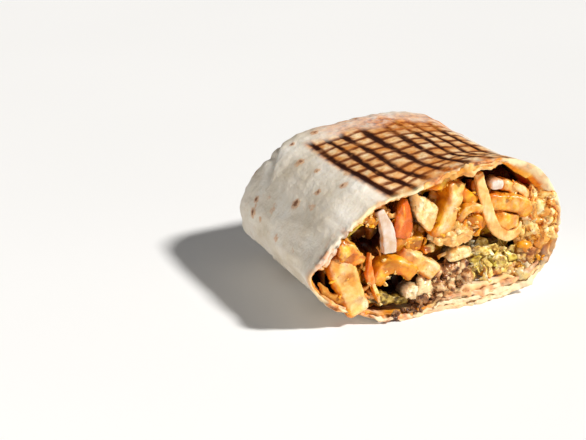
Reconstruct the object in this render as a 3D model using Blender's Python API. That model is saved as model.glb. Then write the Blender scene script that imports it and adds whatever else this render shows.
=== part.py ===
"""Half of a french tacos: a grilled, folded tortilla packed with fries, ground meat, cheese and salad.

The half lies flat as it was cut. X runs across the cut, the cut face looks towards -Y, the folded end
is at +Y and Z points up. Design values are millimetres; MM turns them into metres.
"""
import math

import bmesh
import bpy
import numpy as np

# Driving dimensions

MM = 0.001
LENGTH = 88.0
WALL = 2.1
FLAT_SPOT = 0.6
RIM_POINTS = 60
CLEARANCE = 0.8
GAP = 0.5
SEED = 7

# The cut edge of the tortilla, from its left side by the floor to its crown
RIM_OUTLINE = [(-55.5, 25), (-51, 15.5), (-40, 7.5), (-22, 1.5), (0, 0), (20, 0), (38, 3), (50, 11.5), (55.5, 24),
               (54.5, 38), (46, 51.5), (34, 58), (20, 60.5), (5, 57.8), (-12, 53), (-30, 48), (-45, 38)]
# The pressed body behind the flared edge
BODY_OUTLINE = [(-52, 26), (-48, 14), (-37, 5), (-20, 0), (0, 0), (20, 0), (36, 2.5), (47, 11), (51, 25), (49.5, 40),
                (42.5, 51), (32.5, 56.4), (17, 58.2), (0, 57.5), (-16, 56), (-31, 51.5), (-44, 41)]
FLARE_DEPTH = 18.0
# How the folded end closes, across and in height: where it starts, how round it is and what is left of it
WIDTH_TAPER = (50.0, 2.6, 0.62)
HEIGHT_TAPER = (66.0, 2.3, 0.36)
END_CENTRE = (2.0, 23.0)
FILL_END = 72.0

# The flap that closes the folded end: the height of its edge, its slope and its step
FLAP_EDGE = 19.0
FLAP_SLOPE = 0.12
FLAP_STEP = 1.3
FLAP_START = 66.0
PLEAT_DEPTH = 1.2

# The tucked layers of tortilla under the filling, on the right of the floor
TUCK_RANGE = (-4.0, 44.0)
TUCK_THICKNESS = 6.0
TUCK_HEIGHT = 14.0

# Filling regions across the cut: left and right edges, and the line of their tops
MEAT_EDGES = (-9.2, 14.8)
MEAT_TOP = [(-9.2, 10.5), (-5, 12.3), (-1, 13.3), (3, 17.0), (8, 18.6), (12, 17), (14.8, 12.5)]
SALAD_EDGES = (15.7, 38.3)
SALAD_TOP = [(15.7, 23.5), (19, 25), (24, 24.6), (28, 22.8), (33, 22.4), (38.3, 21.3)]
EGG_EDGES = (43.0, 51.2)
EGG_LOW = 20.3
CORE_COLUMNS = [-46.5, -43, -39.5, -36, -32, -28, -24, -20, -16, -13, -10.5, -9.6, -6, -2, 2, 6, 10, 13, 14.9,
                18, 22, 26, 30, 34, 38.2, 42.4]
CORE_FRONT = 8.5
CORE_RIGHT_LOW = 20.8

# Hollows between the pieces: x, z, half width, half height, extra depth
HOLLOWS = [(-33, 38.5, 8, 6, 14), (-20, 16, 8, 4.5, 12), (-48, 20, 5, 9, 9), (-5, 48.5, 4, 2.5, 6),
           (13, 52, 5, 4, 8), (28, 53, 10, 4, 9), (39, 33, 3, 3, 5), (42, 48, 6, 4, 8), (22, 28, 4, 2, 4)]
HOOD_RANGE = (4.0, 47.0)
HOOD_DROP = 7.5
HOOD_DEPTH = 26.0


def smoothstep(start, end, value):
    t = np.clip((value - start) / (end - start), 0, 1)
    return t * t * (3 - 2 * t)


def bump(start, end, value, edge):
    """1 between start and end, easing to 0 over the edge width on both sides."""
    return smoothstep(start, start + edge, value) * (1 - smoothstep(end - edge, end, value))


# Curves and sections

def closed_curve(points, count):
    """A smooth closed line through the points, as count points at equal steps along it."""
    p = np.array(points, float)
    t = np.linspace(0, 1, 12, endpoint=False)[:, None]
    parts = []
    for i in range(len(p)):
        a, b, c, d = p[i - 1], p[i], p[(i + 1) % len(p)], p[(i + 2) % len(p)]
        parts.append(0.5 * (2 * b + (c - a) * t + (2 * a - 5 * b + 4 * c - d) * t ** 2
                            + (3 * b - a - 3 * c + d) * t ** 3))
    line = np.concatenate(parts + [p[:1]])
    along = np.concatenate([[0], np.cumsum(np.linalg.norm(np.diff(line, axis=0), axis=1))])
    steps = np.linspace(0, along[-1], count, endpoint=False)
    return np.stack([np.interp(steps, along, line[:, k]) for k in (0, 1)], 1)


def open_curve(points, count):
    """A smooth open line through the points, of any dimension."""
    p = np.array(points, float)
    p = np.concatenate([2 * p[:1] - p[1:2], p, 2 * p[-1:] - p[-2:-1]])
    out = []
    for s in np.linspace(0, len(points) - 1, count):
        i = min(int(s), len(points) - 2)
        t = s - i
        a, b, c, d = p[i:i + 4]
        out.append(0.5 * (2 * b + (c - a) * t + (2 * a - 5 * b + 4 * c - d) * t ** 2
                          + (3 * b - a - 3 * c + d) * t ** 3))
    return np.array(out)


RIM = closed_curve(RIM_OUTLINE, RIM_POINTS)
BODY = closed_curve(BODY_OUTLINE, RIM_POINTS)


def taper(y, start, power, end):
    q = min(max((y - start) / (LENGTH - start), 0), 1)
    return end + (1 - end) * (1 - q ** power) ** (1 / power)


def outline(y):
    """The outer section of the tortilla at depth y, counter-clockwise seen from the cut."""
    w = smoothstep(0, FLARE_DEPTH, y)
    scale = np.array([taper(y, *WIDTH_TAPER), taper(y, *HEIGHT_TAPER)])
    points = RIM * (1 - w) + BODY * w
    points[:, 1] = np.maximum(points[:, 1], FLAT_SPOT)
    return END_CENTRE + (points - END_CENTRE) * scale


def thickness(points, y):
    """The tortilla's thickness at each point of a section: thicker where its layers are tucked."""
    x, z = points.T
    tuck = bump(*TUCK_RANGE, x, 11) * (1 - smoothstep(TUCK_HEIGHT - 6, TUCK_HEIGHT, z))
    return WALL + TUCK_THICKNESS * tuck * (1 - smoothstep(FILL_END, LENGTH, y))


def inset(points, distance):
    """The section moved inwards by a distance, which may differ from point to point."""
    tangent = np.roll(points, -1, 0) - np.roll(points, 1, 0)
    tangent /= np.linalg.norm(tangent, axis=1)[:, None]
    inward = np.stack([-tangent[:, 1], tangent[:, 0]], 1)
    return points + inward * np.broadcast_to(distance, len(points))[:, None]


def room(y):
    """The free section inside the tortilla at depth y: its lower and upper line."""
    points = outline(y)
    points = inset(points, thickness(points, y) + CLEARANCE)
    left, right = points[:, 0].argmin(), points[:, 0].argmax()
    points = np.roll(points, -left, 0)
    right = (right - left) % len(points)
    lower = points[:right + 1]
    upper = np.concatenate([points[right:], points[:1]])[::-1]
    return lower, upper


def floor_at(x, y):
    lower = room(y)[0]
    return np.interp(x, *lower[lower[:, 0].argsort()].T)


def ceiling_at(x, y):
    upper = room(y)[1]
    return np.interp(x, *upper[upper[:, 0].argsort()].T)


def deepen(x, z, y):
    """Where a point of the cut section lies at depth y, as the body narrows behind the flared edge."""
    squeeze = 1 - 0.07 * smoothstep(0, FLARE_DEPTH, y)
    cx, cz = END_CENTRE
    return cx + (x * squeeze - cx) * taper(y, *WIDTH_TAPER), cz + (z - cz) * taper(y, *HEIGHT_TAPER)


def line_at(points, x):
    return np.interp(x, *np.array(points, float).T)


# Meshes

def clear_scene():
    for obj in list(bpy.data.objects):
        bpy.data.objects.remove(obj)


def material(name, colour, roughness):
    found = bpy.data.materials.new(name)
    found.use_nodes = True
    shader = found.node_tree.nodes["Principled BSDF"]
    shader.inputs["Base Color"].default_value = (*colour, 1)
    shader.inputs["Roughness"].default_value = roughness
    shader.inputs["Metallic"].default_value = 0
    return found


def solid(name, vertices, faces, look=None):
    """A closed mesh object from points in millimetres, with its faces turned outwards."""
    mesh = bpy.data.meshes.new(name)
    mesh.from_pydata([tuple(float(c) * MM for c in v) for v in vertices], [], faces)
    shape = bmesh.new()
    shape.from_mesh(mesh)
    bmesh.ops.recalc_face_normals(shape, faces=shape.faces)
    if shape.calc_volume(signed=True) < 0:
        bmesh.ops.reverse_faces(shape, faces=shape.faces)
    shape.to_mesh(mesh)
    shape.free()
    mesh.shade_smooth()
    mesh.set_sharp_from_angle(angle=math.radians(50))
    if look:
        mesh.materials.append(look)
    obj = bpy.data.objects.new(name, mesh)
    bpy.context.scene.collection.objects.link(obj)
    return obj


def loft(name, rings, look=None):
    """A closed solid through rings of equal count; its ends are closed by fans."""
    count = len(rings[0])
    vertices = [point for ring in rings for point in ring]
    faces = []
    for k in range(len(rings) - 1):
        for i in range(count):
            j = (i + 1) % count
            faces.append((k * count + i, k * count + j, (k + 1) * count + j, (k + 1) * count + i))
    for ring, start in ((rings[0], 0), (rings[-1], (len(rings) - 1) * count)):
        vertices.append(np.mean(ring, axis=0))
        faces += [(start + (i + 1) % count, start + i, len(vertices) - 1) for i in range(count)]
    return solid(name, vertices, faces, look)


def bar(name, path, width, height, roll=0.0, look=None, taper_ends=0.82, chamfer=0.2):
    """A bar along a path: width lies in the cut plane and height along Y, unless rolled, in degrees."""
    path = np.array(path, float)
    corner = 0.5 - chamfer
    outer = [(-0.5, -corner), (-corner, -0.5), (corner, -0.5), (0.5, -corner),
             (0.5, corner), (corner, 0.5), (-corner, 0.5), (-0.5, corner)]
    turn = math.radians(roll)
    rings = []
    nose = min(width, height) * 0.16
    tangents = np.gradient(path, axis=0)
    tangents /= np.linalg.norm(tangents, axis=1)[:, None]
    stations = [(path[0], tangents[0], taper_ends), (path[0] + tangents[0] * nose, tangents[0], 1)]
    stations += [(path[k], tangents[k], 1) for k in range(1, len(path) - 1)]
    stations += [(path[-1] - tangents[-1] * nose, tangents[-1], 1), (path[-1], tangents[-1], taper_ends)]
    for centre, along, scale in stations:
        depth = np.array([0, 1.0, 0]) if abs(along[1]) < 0.8 else np.array([0, 0, 1.0])
        side = np.cross(depth, along)
        side /= np.linalg.norm(side)
        depth = np.cross(along, side)
        a = side * math.cos(turn) + depth * math.sin(turn)
        b = depth * math.cos(turn) - side * math.sin(turn)
        rings.append([centre + a * u * width * scale + b * v * height * scale for u, v in outer])
    return loft(name, rings, look)


def chunk(name, corners, front, back, look=None, count=16, rounding=0.8):
    """A piece cut across by the knife: a smooth outline from front to back, with eased edges."""
    edge = closed_curve(corners, count)
    rings = []
    for y, cut in ((front, rounding), (front + rounding * 0.7, 0), (back - rounding * 0.7, 0), (back, rounding)):
        ring = inset(edge, cut)
        rings.append(np.stack([ring[:, 0], np.full(count, float(y)), ring[:, 1]], 1))
    return loft(name, rings, look)


def grid_faces(columns, rows, start=0):
    return [(start + i * rows + k, start + (i + 1) * rows + k,
             start + (i + 1) * rows + k + 1, start + i * rows + k + 1)
            for i in range(columns - 1) for k in range(rows - 1)]


def filling(name, columns, rows, low, high, front, stations, look=None):
    """A filling that runs back through the food: an uneven front and sides that follow the tortilla."""
    count = len(columns)
    vertices = []
    for x in columns:
        for t in np.linspace(0, 1, rows):
            z_low, z_high = low(x, 0), high(x, 0)
            y = front(x, z_low + (z_high - z_low) * t)
            x_deep = deepen(x, 0, y)[0]
            z = low(x, y) + (high(x, y) - low(x, y)) * t
            vertices.append((x_deep, y, z))
    faces = grid_faces(count, rows)
    loop = [(i, 0) for i in range(count)] + [(count - 1, k) for k in range(1, rows)]
    loop += [(i, rows - 1) for i in range(count - 2, -1, -1)] + [(0, k) for k in range(rows - 2, 0, -1)]
    before = [i * rows + k for i, k in loop]
    for s in stations:
        after = []
        for i, k in loop:
            y = vertices[i * rows + k][1]
            y += (FILL_END - y) * s
            z_low, z_high = low(columns[i], y), high(columns[i], y)
            after.append(len(vertices))
            vertices.append((deepen(columns[i], 0, y)[0], y, z_low + (z_high - z_low) * k / (rows - 1)))
        faces += [(before[i], before[(i + 1) % len(loop)], after[(i + 1) % len(loop)], after[i])
                  for i in range(len(loop))]
        before = after
    faces.append(tuple(before))
    return solid(name, vertices, faces, look)


def fuse(core, pieces):
    """Joins the pieces to the core with one Boolean union, then keeps its one outer skin."""
    group = bpy.data.collections.new(core.name + "_pieces")
    for piece in pieces:
        group.objects.link(piece)
    union = core.modifiers.new("Union", "BOOLEAN")
    union.operation = "UNION"
    union.operand_type = "COLLECTION"
    union.collection = group
    union.solver = "EXACT"
    whole = bpy.data.meshes.new_from_object(core.evaluated_get(bpy.context.evaluated_depsgraph_get()))
    core.modifiers.remove(union)
    core.data = whole
    for piece in pieces:
        bpy.data.objects.remove(piece)
    bpy.data.collections.remove(group)
    keep_outer_skin(core)


def keep_outer_skin(obj):
    """Drops loose scraps and sealed hollows: only the connected skin of greatest volume stays."""
    shape = bmesh.new()
    shape.from_mesh(obj.data)
    bmesh.ops.remove_doubles(shape, verts=shape.verts, dist=0.00002)
    bmesh.ops.dissolve_degenerate(shape, edges=shape.edges, dist=0.00002)
    shape.verts.ensure_lookup_table()
    groups = []
    seen = set()
    for first in shape.verts:
        if first in seen:
            continue
        stack, group = [first], []
        seen.add(first)
        while stack:
            vertex = stack.pop()
            group.append(vertex)
            for edge in vertex.link_edges:
                other = edge.other_vert(vertex)
                if other not in seen:
                    seen.add(other)
                    stack.append(other)
        groups.append(group)
    groups.sort(key=len)
    for group in groups[:-1]:
        bmesh.ops.delete(shape, geom=group, context="VERTS")
    shape.to_mesh(obj.data)
    shape.free()
    obj.data.shade_smooth()
    obj.data.set_sharp_from_angle(angle=math.radians(50))


# The tortilla

OUTER_STATIONS = [2, 5, 9, 14, 20, 29, 40, 50, 58, 65, 70, 75, 79, 82.5, 85.2, 87, 88]
INNER_STATIONS = [82, 79, 75, 70, 62, 52, 40, 28, 18, 11, 5, 2]
CAP_RINGS = ((0.66, 1.0), (0.33, 1.6))
GROOVE_DEPTH = 3.2


def rim_depth(points):
    """How far the torn cut edge stands back or forward of the cut plane, round the section."""
    x, z = points.T
    ripple = 0.5 * np.sin(x * 0.21 + 1.3) + 0.35 * np.sin(z * 0.33 + x * 0.1) + 0.25 * np.sin(x * 0.55)
    dropped_corner = 1.6 * bump(-56, -26, x, 10) * (1 - smoothstep(16, 30, z))
    lifted_crown = -1.0 * bump(8, 40, x, 10) * smoothstep(45, 55, z)
    return ripple + dropped_corner + lifted_crown


def fold_relief(points, y):
    """How far the closing flap and the pleats at its corners raise the surface at the folded end."""
    x, z = points.T
    over_end = smoothstep(FLAP_START, FLAP_START + 12, y)
    flap = FLAP_STEP * smoothstep(0, 2.5, z - FLAP_EDGE - FLAP_SLOPE * x)
    crease = np.abs(np.abs(x - END_CENTRE[0]) - 27 - 0.45 * (z - END_CENTRE[1]))
    return over_end * (flap - PLEAT_DEPTH * np.exp(-(crease / 2.6) ** 2))


def ring_at(points, y):
    return np.stack([points[:, 0], np.broadcast_to(y, len(points)), points[:, 1]], 1)


def tortilla(look):
    back = outline(LENGTH)
    back = inset(back, -fold_relief(back, LENGTH))
    middle = back.mean(0)
    rings = [ring_at(middle + (back - middle) * scale, LENGTH + bulge) for scale, bulge in reversed(CAP_RINGS)]
    for y in reversed(OUTER_STATIONS):
        section = outline(y)
        near_rim = 1 - smoothstep(0, FLARE_DEPTH, y)
        skin = inset(section, -fold_relief(section, y))
        rings.append(ring_at(skin, y + rim_depth(section) * near_rim))
    section = outline(0)
    wide = thickness(section, 0)
    layered = smoothstep(3, 6, wide)
    for part in (0.0, 0.2, 0.35, 0.55, 0.7, 0.88, 1.0):
        groove = GROOVE_DEPTH * layered * (part in (0.35, 0.7))
        rings.append(ring_at(inset(section, wide * part), rim_depth(section) + groove + 0.8 * layered * part))
    for y in reversed(INNER_STATIONS):
        section = outline(y)
        near_rim = 1 - smoothstep(0, FLARE_DEPTH, y)
        wall = inset(section, thickness(section, y))
        rings.append(ring_at(wall, y + (rim_depth(section) + 0.8) * near_rim))
    return loft("tortilla", rings, look)


# The fillings

def top_of(region, edges, x):
    return line_at(region, x) if edges[0] <= x <= edges[1] else -math.inf


def core_low(x, y):
    """The underside of the fries: the floor, or the meat or salad beneath them."""
    tops = [max(top_of(MEAT_TOP, MEAT_EDGES, x + dx), top_of(SALAD_TOP, SALAD_EDGES, x + dx))
            for dx in (-0.9, -0.45, 0, 0.45, 0.9)]
    top = max(tops) + GAP
    if x > SALAD_EDGES[1] - 0.3:
        top = max(top, CORE_RIGHT_LOW)
    x_deep, z_deep = deepen(x, top, y)
    return max(z_deep, floor_at(x_deep, y)) if top > 0 else floor_at(x_deep, y)


def core_high(x, y):
    hood = HOOD_DROP * bump(*HOOD_RANGE, x, 10) * (1 - smoothstep(HOOD_DEPTH * 0.35, HOOD_DEPTH, y))
    return ceiling_at(deepen(x, 0, y)[0], y) - hood


def core_front(x, z):
    deep = sum(extra * math.exp(-((x - cx) / wide) ** 2 - ((z - cz) / tall) ** 2)
               for cx, cz, wide, tall, extra in HOLLOWS)
    return CORE_FRONT + deep


# Fries seen along their length: ends as (x, z), depth of their middle, width, height, roll
LONG_FRIES = [
    ([(-45.0, 29.5), (-36.3, 14.0)], 6.4, 8.6, 8.6, 45),
    ([(-24.8, 18.0), (-22.4, 22.2), (-18.0, 24.2), (-13.0, 22.5)], 5.2, 5.6, 9.0, 0),
    ([(-15.0, 26.0), (-3.4, 18.9)], 5.0, 6.8, 9.0, 8),
    ([(5.6, 47.5), (2.6, 35.6)], 5.2, 8.4, 9.0, -6),
    ([(27.2, 41.2), (40.0, 36.9)], 5.2, 7.6, 9.0, 5),
    ([(-17.5, 30.3), (-6.0, 31.0)], 6.0, 6.6, 9.0, 12),
    ([(-37.5, 37.5), (-27.0, 33.5)], 18.0, 7.0, 8.0, 20),
]
# Fries cut across: middle (x, z), front depth, width, height, roll, lean of the back end in x and z
CUT_FRIES = [
    ((-37.2, 31.8), 1.2, 7.6, 8.0, 30, (3, 1)),
    ((-28.2, 41.6), 5.0, 5.0, 5.6, 12, (-2, -2)),
    ((14.2, 38.2), 1.0, 7.8, 5.2, -18, (1, 3)),
    ((18.1, 33.0), 3.0, 3.6, 5.2, 8, (0, 2)),
    ((31.2, 33.2), 1.6, 6.2, 5.0, -10, (3, 2)),
    ((3.0, 51.3), 4.0, 8.0, 4.6, 16, (2, -3)),
    ((13.2, 45.0), 5.5, 5.8, 6.0, 25, (1, -2)),
    ((-8.4, 23.6), 4.6, 5.0, 5.4, 35, (0, 2)),
    ((-22.6, 33.4), 9.0, 5.6, 7.0, -20, (-2, 1)),
    ((9.6, 51.0), 7.0, 5.2, 4.0, -8, (1, -2)),
    ((-39.5, 22.0), 9.0, 6.0, 6.0, 15, (2, 2)),
]
CUT_FRY_REACH = 17.0


def fries(look):
    core = filling("fries", CORE_COLUMNS, 9, core_low, core_high, core_front, (0.12, 0.3, 0.5, 0.75, 1.0), look)
    pieces = []
    for ends, y, width, height, roll in LONG_FRIES:
        path = [(x, y, z) for x, z in ends]
        pieces.append(bar("long_fry", path, width, height, roll))
    for (x, z), front, width, height, roll, (dx, dz) in CUT_FRIES:
        path = [(x, front, z), (x + dx, CUT_FRY_REACH, z + dz)]
        pieces.append(bar("cut_fry", path, width, height, roll))
    fuse(core, pieces)


def lump(name, centre, radius, squash, generator):
    """A rough crumb: a small icosphere with its corners pushed in and out."""
    shape = bmesh.new()
    bmesh.ops.create_icosphere(shape, subdivisions=2, radius=1)
    points = np.array([v.co for v in shape.verts])
    faces = [[v.index for v in face.verts] for face in shape.faces]
    shape.free()
    points *= (1 + generator.uniform(-0.16, 0.16, len(points)))[:, None]
    return solid(name, np.array(centre) + points * radius * np.array(squash), faces)


MEAT_CRUMBS = 11
MEAT_FRONT = 3.6


def ground_meat(look):
    generator = np.random.default_rng(SEED)
    columns = np.linspace(*MEAT_EDGES, 11)

    def low(x, y):
        return floor_at(deepen(x, 0, y)[0], y)

    def high(x, y):
        return deepen(x, line_at(MEAT_TOP, x), y)[1]

    def front(x, z):
        return MEAT_FRONT + 0.8 * math.sin(x * 1.1 + z * 0.7) * math.cos(z * 0.9)

    core = filling("ground_meat", columns, 5, low, high, front, (0.15, 0.4, 0.7, 1.0), look)
    crumbs = []
    for k in range(MEAT_CRUMBS):
        x = MEAT_EDGES[0] + 3.2 + (MEAT_EDGES[1] - MEAT_EDGES[0] - 6.6) * (k + 0.5) / MEAT_CRUMBS
        radius = generator.uniform(2.0, 2.7)
        bottom, top = low(x, 0) + radius + 0.5, line_at(MEAT_TOP, x) - radius - 0.9
        z = bottom + max(top - bottom, 0) * generator.uniform(0, 1)
        crumbs.append(lump("crumb", (x, MEAT_FRONT - 0.2, z), radius, (1, 0.95, 0.85), generator))
    fuse(core, crumbs)


# Shreds of lettuce: the path of each, as (x, y, z), and its width
SHREDS = [
    ([(17.5, 3.6, 23.3), (21, 2.4, 21.8), (26, 3.2, 22.4), (29, 3.6, 20.6)], 2.8),
    ([(17.2, 2.8, 19), (19.6, 3.4, 15.5), (21, 2.6, 12.3)], 3.4),
    ([(22.2, 3.2, 18.8), (24.6, 2.2, 15.5), (26, 3.4, 12)], 3.0),
    ([(26.5, 2.4, 20), (29, 3.4, 17), (30.4, 2.6, 13.6)], 4.2),
    ([(31.5, 3.4, 20.6), (33.6, 2.6, 17.4), (36, 3.4, 15.4)], 3.0),
    ([(29.5, 3.0, 12.4), (33, 2.4, 13), (36, 3.2, 12.3)], 2.6),
    ([(32.8, 2.2, 20.6), (35.8, 3.0, 19.4)], 2.4),
]
SHRED_THICKNESS = 1.3
SALAD_FRONT = 4.6


def salad(look):
    def low(x, y):
        return floor_at(deepen(x, 0, y)[0], y)

    def high(x, y):
        return deepen(x, line_at(SALAD_TOP, x), y)[1]

    def front(x, z):
        return SALAD_FRONT - 1.4 + 1.0 * math.sin(x * 0.9 - z * 0.5) * math.sin(z * 0.8 + 1)

    core = filling("lettuce", np.linspace(*SALAD_EDGES, 10), 5, low, high, front, (0.15, 0.4, 0.7, 1.0), look)
    shreds = [bar("shred", open_curve(path, 6), width, SHRED_THICKNESS, 12, chamfer=0.3)
              for path, width in SHREDS]
    fuse(core, shreds)


def egg(look):
    def low(x, y):
        x_deep, z_deep = deepen(x, EGG_LOW, y)
        return max(z_deep, floor_at(x_deep, y))

    def high(x, y):
        return min(deepen(x, 43.0, y)[1], ceiling_at(deepen(x, 0, y)[0], y) - 0.2)

    def front(x, z):
        return 1.8 + 0.9 * math.sin(x * 1.3 + z * 0.45) + 0.7 * math.cos(z * 0.8 - x * 0.6)

    columns = np.linspace(*EGG_EDGES, 7)
    return filling("egg_crumble", columns, 11, low, high, front, (0.06, 0.2, 0.45, 0.7, 1.0), look)


# Pieces that the knife went through: outline in the cut plane, front and back depth, colour, roughness
CUT_PIECES = {
    "onion_slice": ([(-24.6, 29.4), (-20.2, 29.2), (-19.6, 36), (-20.4, 41), (-22.2, 43), (-24.5, 40), (-25, 35)],
                    0.6, 8.0, (0.86, 0.74, 0.66), 0.35),
    "tomato_piece": ([(-18.3, 35.8), (-13.4, 35.8), (-12.9, 42), (-14.0, 48), (-16.2, 49.6), (-17.6, 45),
                      (-18.7, 40)], 1.4, 8.0, (0.76, 0.22, 0.06), 0.35),
    "onion_petal": ([(-11.0, 50.2), (-8, 49.8), (-4, 47.4), (-1.6, 44), (-1.8, 38.6), (-4.6, 36.2), (-8.6, 38.2),
                     (-11.4, 42.5), (-12.2, 48)], 0.2, 8.0, (0.88, 0.72, 0.45), 0.3),
    "melted_cheese": ([(-1.2, 31.6), (4, 32.3), (9, 33.3), (13.8, 32.6), (15.4, 30), (13.6, 27), (9, 26.1),
                       (3, 26.6), (-1.6, 28.6)], 1.0, 8.0, (0.86, 0.62, 0.27), 0.4),
    "cheese_block": ([(6.0, 20.3), (13.6, 20.8), (14.6, 24.6), (8, 25.2), (5.4, 23)], 0.6, 8.0,
                     (0.85, 0.74, 0.45), 0.35),
    "cheese_cube": ([(-16, 10.8), (-10.8, 10.4), (-10.4, 15), (-13, 16.2), (-16.2, 14.5)], 1.0, 8.0,
                    (0.84, 0.76, 0.62), 0.4),
    "onion_bit": ([(24.2, 46.6), (28.6, 46.4), (29.4, 49.6), (26, 50.8), (23.9, 49.4)], 2.0, 8.0,
                  (0.84, 0.66, 0.58), 0.35),
    "pepper_piece": ([(-31.2, 18.8), (-28.9, 18.6), (-28.7, 25.5), (-30.6, 28.4), (-32.8, 25.4), (-32.6, 22)],
                     1.0, 8.0, (0.62, 0.13, 0.03), 0.35),
    "lettuce_leaf": ([(-29.5, 9.2), (-23, 6.9), (-16, 5.6), (-11, 5.4), (-11, 8), (-18, 9.6), (-26, 13.2),
                      (-29.6, 13)], 3.0, 8.0, (0.42, 0.33, 0.12), 0.5),
    "browned_piece": ([(39.4, 14.4), (42.6, 13), (45.8, 15.8), (48, 18.4), (44, 19.2), (39.6, 18.8)],
                      1.0, 9.0, (0.50, 0.20, 0.07), 0.55),
}
# Long slices: path in the cut plane, width, thickness, depth of their middle, colour, roughness
SLICES = {
    "long_onion_strip": ([(19.3, 52.6), (20.2, 48), (21.2, 42), (22.4, 36.6), (24.8, 31.4), (28.8, 27.9),
                          (33, 26.8), (36.2, 28.3), (37.0, 31.4)], 4.6, 5.0, 4.0, (0.88, 0.68, 0.42), 0.3),
    "onion_sliver": ([(34.5, 46.2), (38.3, 44.0), (41.0, 42.4)], 2.2, 5.0, 4.0, (0.84, 0.70, 0.50), 0.35),
    "green_strip": ([(-37.6, 38.4), (-34.6, 40.6), (-31.4, 42.8)], 1.7, 4.0, 4.6, (0.52, 0.36, 0.05), 0.4),
}


def cut_pieces():
    for name, (corners, front, back, colour, roughness) in CUT_PIECES.items():
        chunk(name, corners, front, back, material(name, colour, roughness))
    for name, (path, width, thick, depth, colour, roughness) in SLICES.items():
        points = open_curve([(x, depth, z) for x, z in path], 2 * len(path) + 1)
        bar(name, points, width, thick, 0, material(name, colour, roughness), chamfer=0.25)


# Placing

def put_on_floor():
    """Moves everything so that the origin is at the bottom centre of the whole."""
    points = np.concatenate([[v.co for v in obj.data.vertices] for obj in bpy.data.objects])
    low, high = points.min(0), points.max(0)
    shift = -np.array([(low[0] + high[0]) / 2, (low[1] + high[1]) / 2, low[2]])
    for obj in bpy.data.objects:
        for vertex in obj.data.vertices:
            vertex.co.x += shift[0]
            vertex.co.y += shift[1]
            vertex.co.z += shift[2]


def build():
    clear_scene()
    tortilla(material("tortilla", (0.70, 0.55, 0.38), 0.6))
    fries(material("fries", (0.78, 0.36, 0.08), 0.45))
    ground_meat(material("ground_meat", (0.26, 0.14, 0.08), 0.6))
    salad(material("lettuce", (0.60, 0.52, 0.16), 0.4))
    egg(material("egg_crumble", (0.84, 0.60, 0.24), 0.55))
    cut_pieces()
    put_on_floor()


build()
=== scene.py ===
"""The looks of the french tacos half: a grilled tortilla round fries, ground meat, cheese and salad.

Lengths are millimetres in the frame in which the solids were designed: X runs across the cut, the cut
face looks towards -Y and Z points up. place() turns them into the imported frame's metres.
"""
import math

import bmesh
import bpy
import numpy as np
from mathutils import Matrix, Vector, noise


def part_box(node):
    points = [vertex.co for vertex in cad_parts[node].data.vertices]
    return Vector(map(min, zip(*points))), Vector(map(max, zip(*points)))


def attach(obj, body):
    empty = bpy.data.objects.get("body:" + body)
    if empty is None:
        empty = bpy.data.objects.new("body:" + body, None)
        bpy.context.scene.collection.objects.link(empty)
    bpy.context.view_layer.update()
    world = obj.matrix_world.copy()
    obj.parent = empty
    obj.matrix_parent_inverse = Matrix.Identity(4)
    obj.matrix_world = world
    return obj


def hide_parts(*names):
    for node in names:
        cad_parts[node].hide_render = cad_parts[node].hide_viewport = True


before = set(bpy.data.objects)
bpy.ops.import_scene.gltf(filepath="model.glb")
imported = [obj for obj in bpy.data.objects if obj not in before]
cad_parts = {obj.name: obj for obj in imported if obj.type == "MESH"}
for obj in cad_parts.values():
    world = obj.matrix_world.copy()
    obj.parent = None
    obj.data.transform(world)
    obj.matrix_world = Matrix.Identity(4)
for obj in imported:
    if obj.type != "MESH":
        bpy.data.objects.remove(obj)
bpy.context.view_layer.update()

# Design values of the solids

MM = 0.001
LENGTH = 88.0
WALL = 2.1
FLAT_SPOT = 0.6
CLEARANCE = 0.8
GAP = 0.5
SEED = 7
CAP_BULGE = 1.6
RIM_OUTLINE = [(-55.5, 25), (-51, 15.5), (-40, 7.5), (-22, 1.5), (0, 0), (20, 0), (38, 3), (50, 11.5),
               (55.5, 24), (54.5, 38), (46, 51.5), (34, 58), (20, 60.5), (5, 57.8), (-12, 53), (-30, 48),
               (-45, 38)]
BODY_OUTLINE = [(-52, 26), (-48, 14), (-37, 5), (-20, 0), (0, 0), (20, 0), (36, 2.5), (47, 11), (51, 25),
                (49.5, 40), (42.5, 51), (32.5, 56.4), (17, 58.2), (0, 57.5), (-16, 56), (-31, 51.5),
                (-44, 41)]
FLARE_DEPTH = 18.0
WIDTH_TAPER = (50.0, 2.6, 0.62)
HEIGHT_TAPER = (66.0, 2.3, 0.36)
END_CENTRE = (2.0, 23.0)
FILL_END = 72.0
FLAP_EDGE = 19.0
FLAP_SLOPE = 0.12
FLAP_STEP = 1.3
FLAP_START = 66.0
PLEAT_DEPTH = 1.2
TUCK_RANGE = (-4.0, 44.0)
TUCK_THICKNESS = 6.0
TUCK_HEIGHT = 14.0
GROOVE_DEPTH = 3.2
MEAT_EDGES = (-9.2, 14.8)
MEAT_TOP = [(-9.2, 10.5), (-5, 12.3), (-1, 13.3), (3, 17.0), (8, 18.6), (12, 17), (14.8, 12.5)]
SALAD_EDGES = (15.7, 38.3)
SALAD_TOP = [(15.7, 23.5), (19, 25), (24, 24.6), (28, 22.8), (33, 22.4), (38.3, 21.3)]
EGG_EDGES = (43.0, 51.2)
EGG_LOW = 20.3
EGG_HIGH = 43.0
CORE_EDGES = (-46.5, 42.4)
CORE_FRONT = 8.5
CORE_RIGHT_LOW = 20.8
# Hollows between the pieces: middle x and z, half width, half height, how deep
HOLLOWS = [(-33, 38.5, 8, 6, 14), (-20, 16, 8, 4.5, 12), (-48, 20, 5, 9, 9), (-5, 48.5, 4, 2.5, 6),
           (13, 52, 5, 4, 8), (28, 53, 10, 4, 9), (39, 33, 3, 3, 5), (42, 48, 6, 4, 8), (22, 28, 4, 2, 4)]
HOOD_RANGE = (4.0, 47.0)
HOOD_DROP = 7.5
HOOD_DEPTH = 26.0

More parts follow.
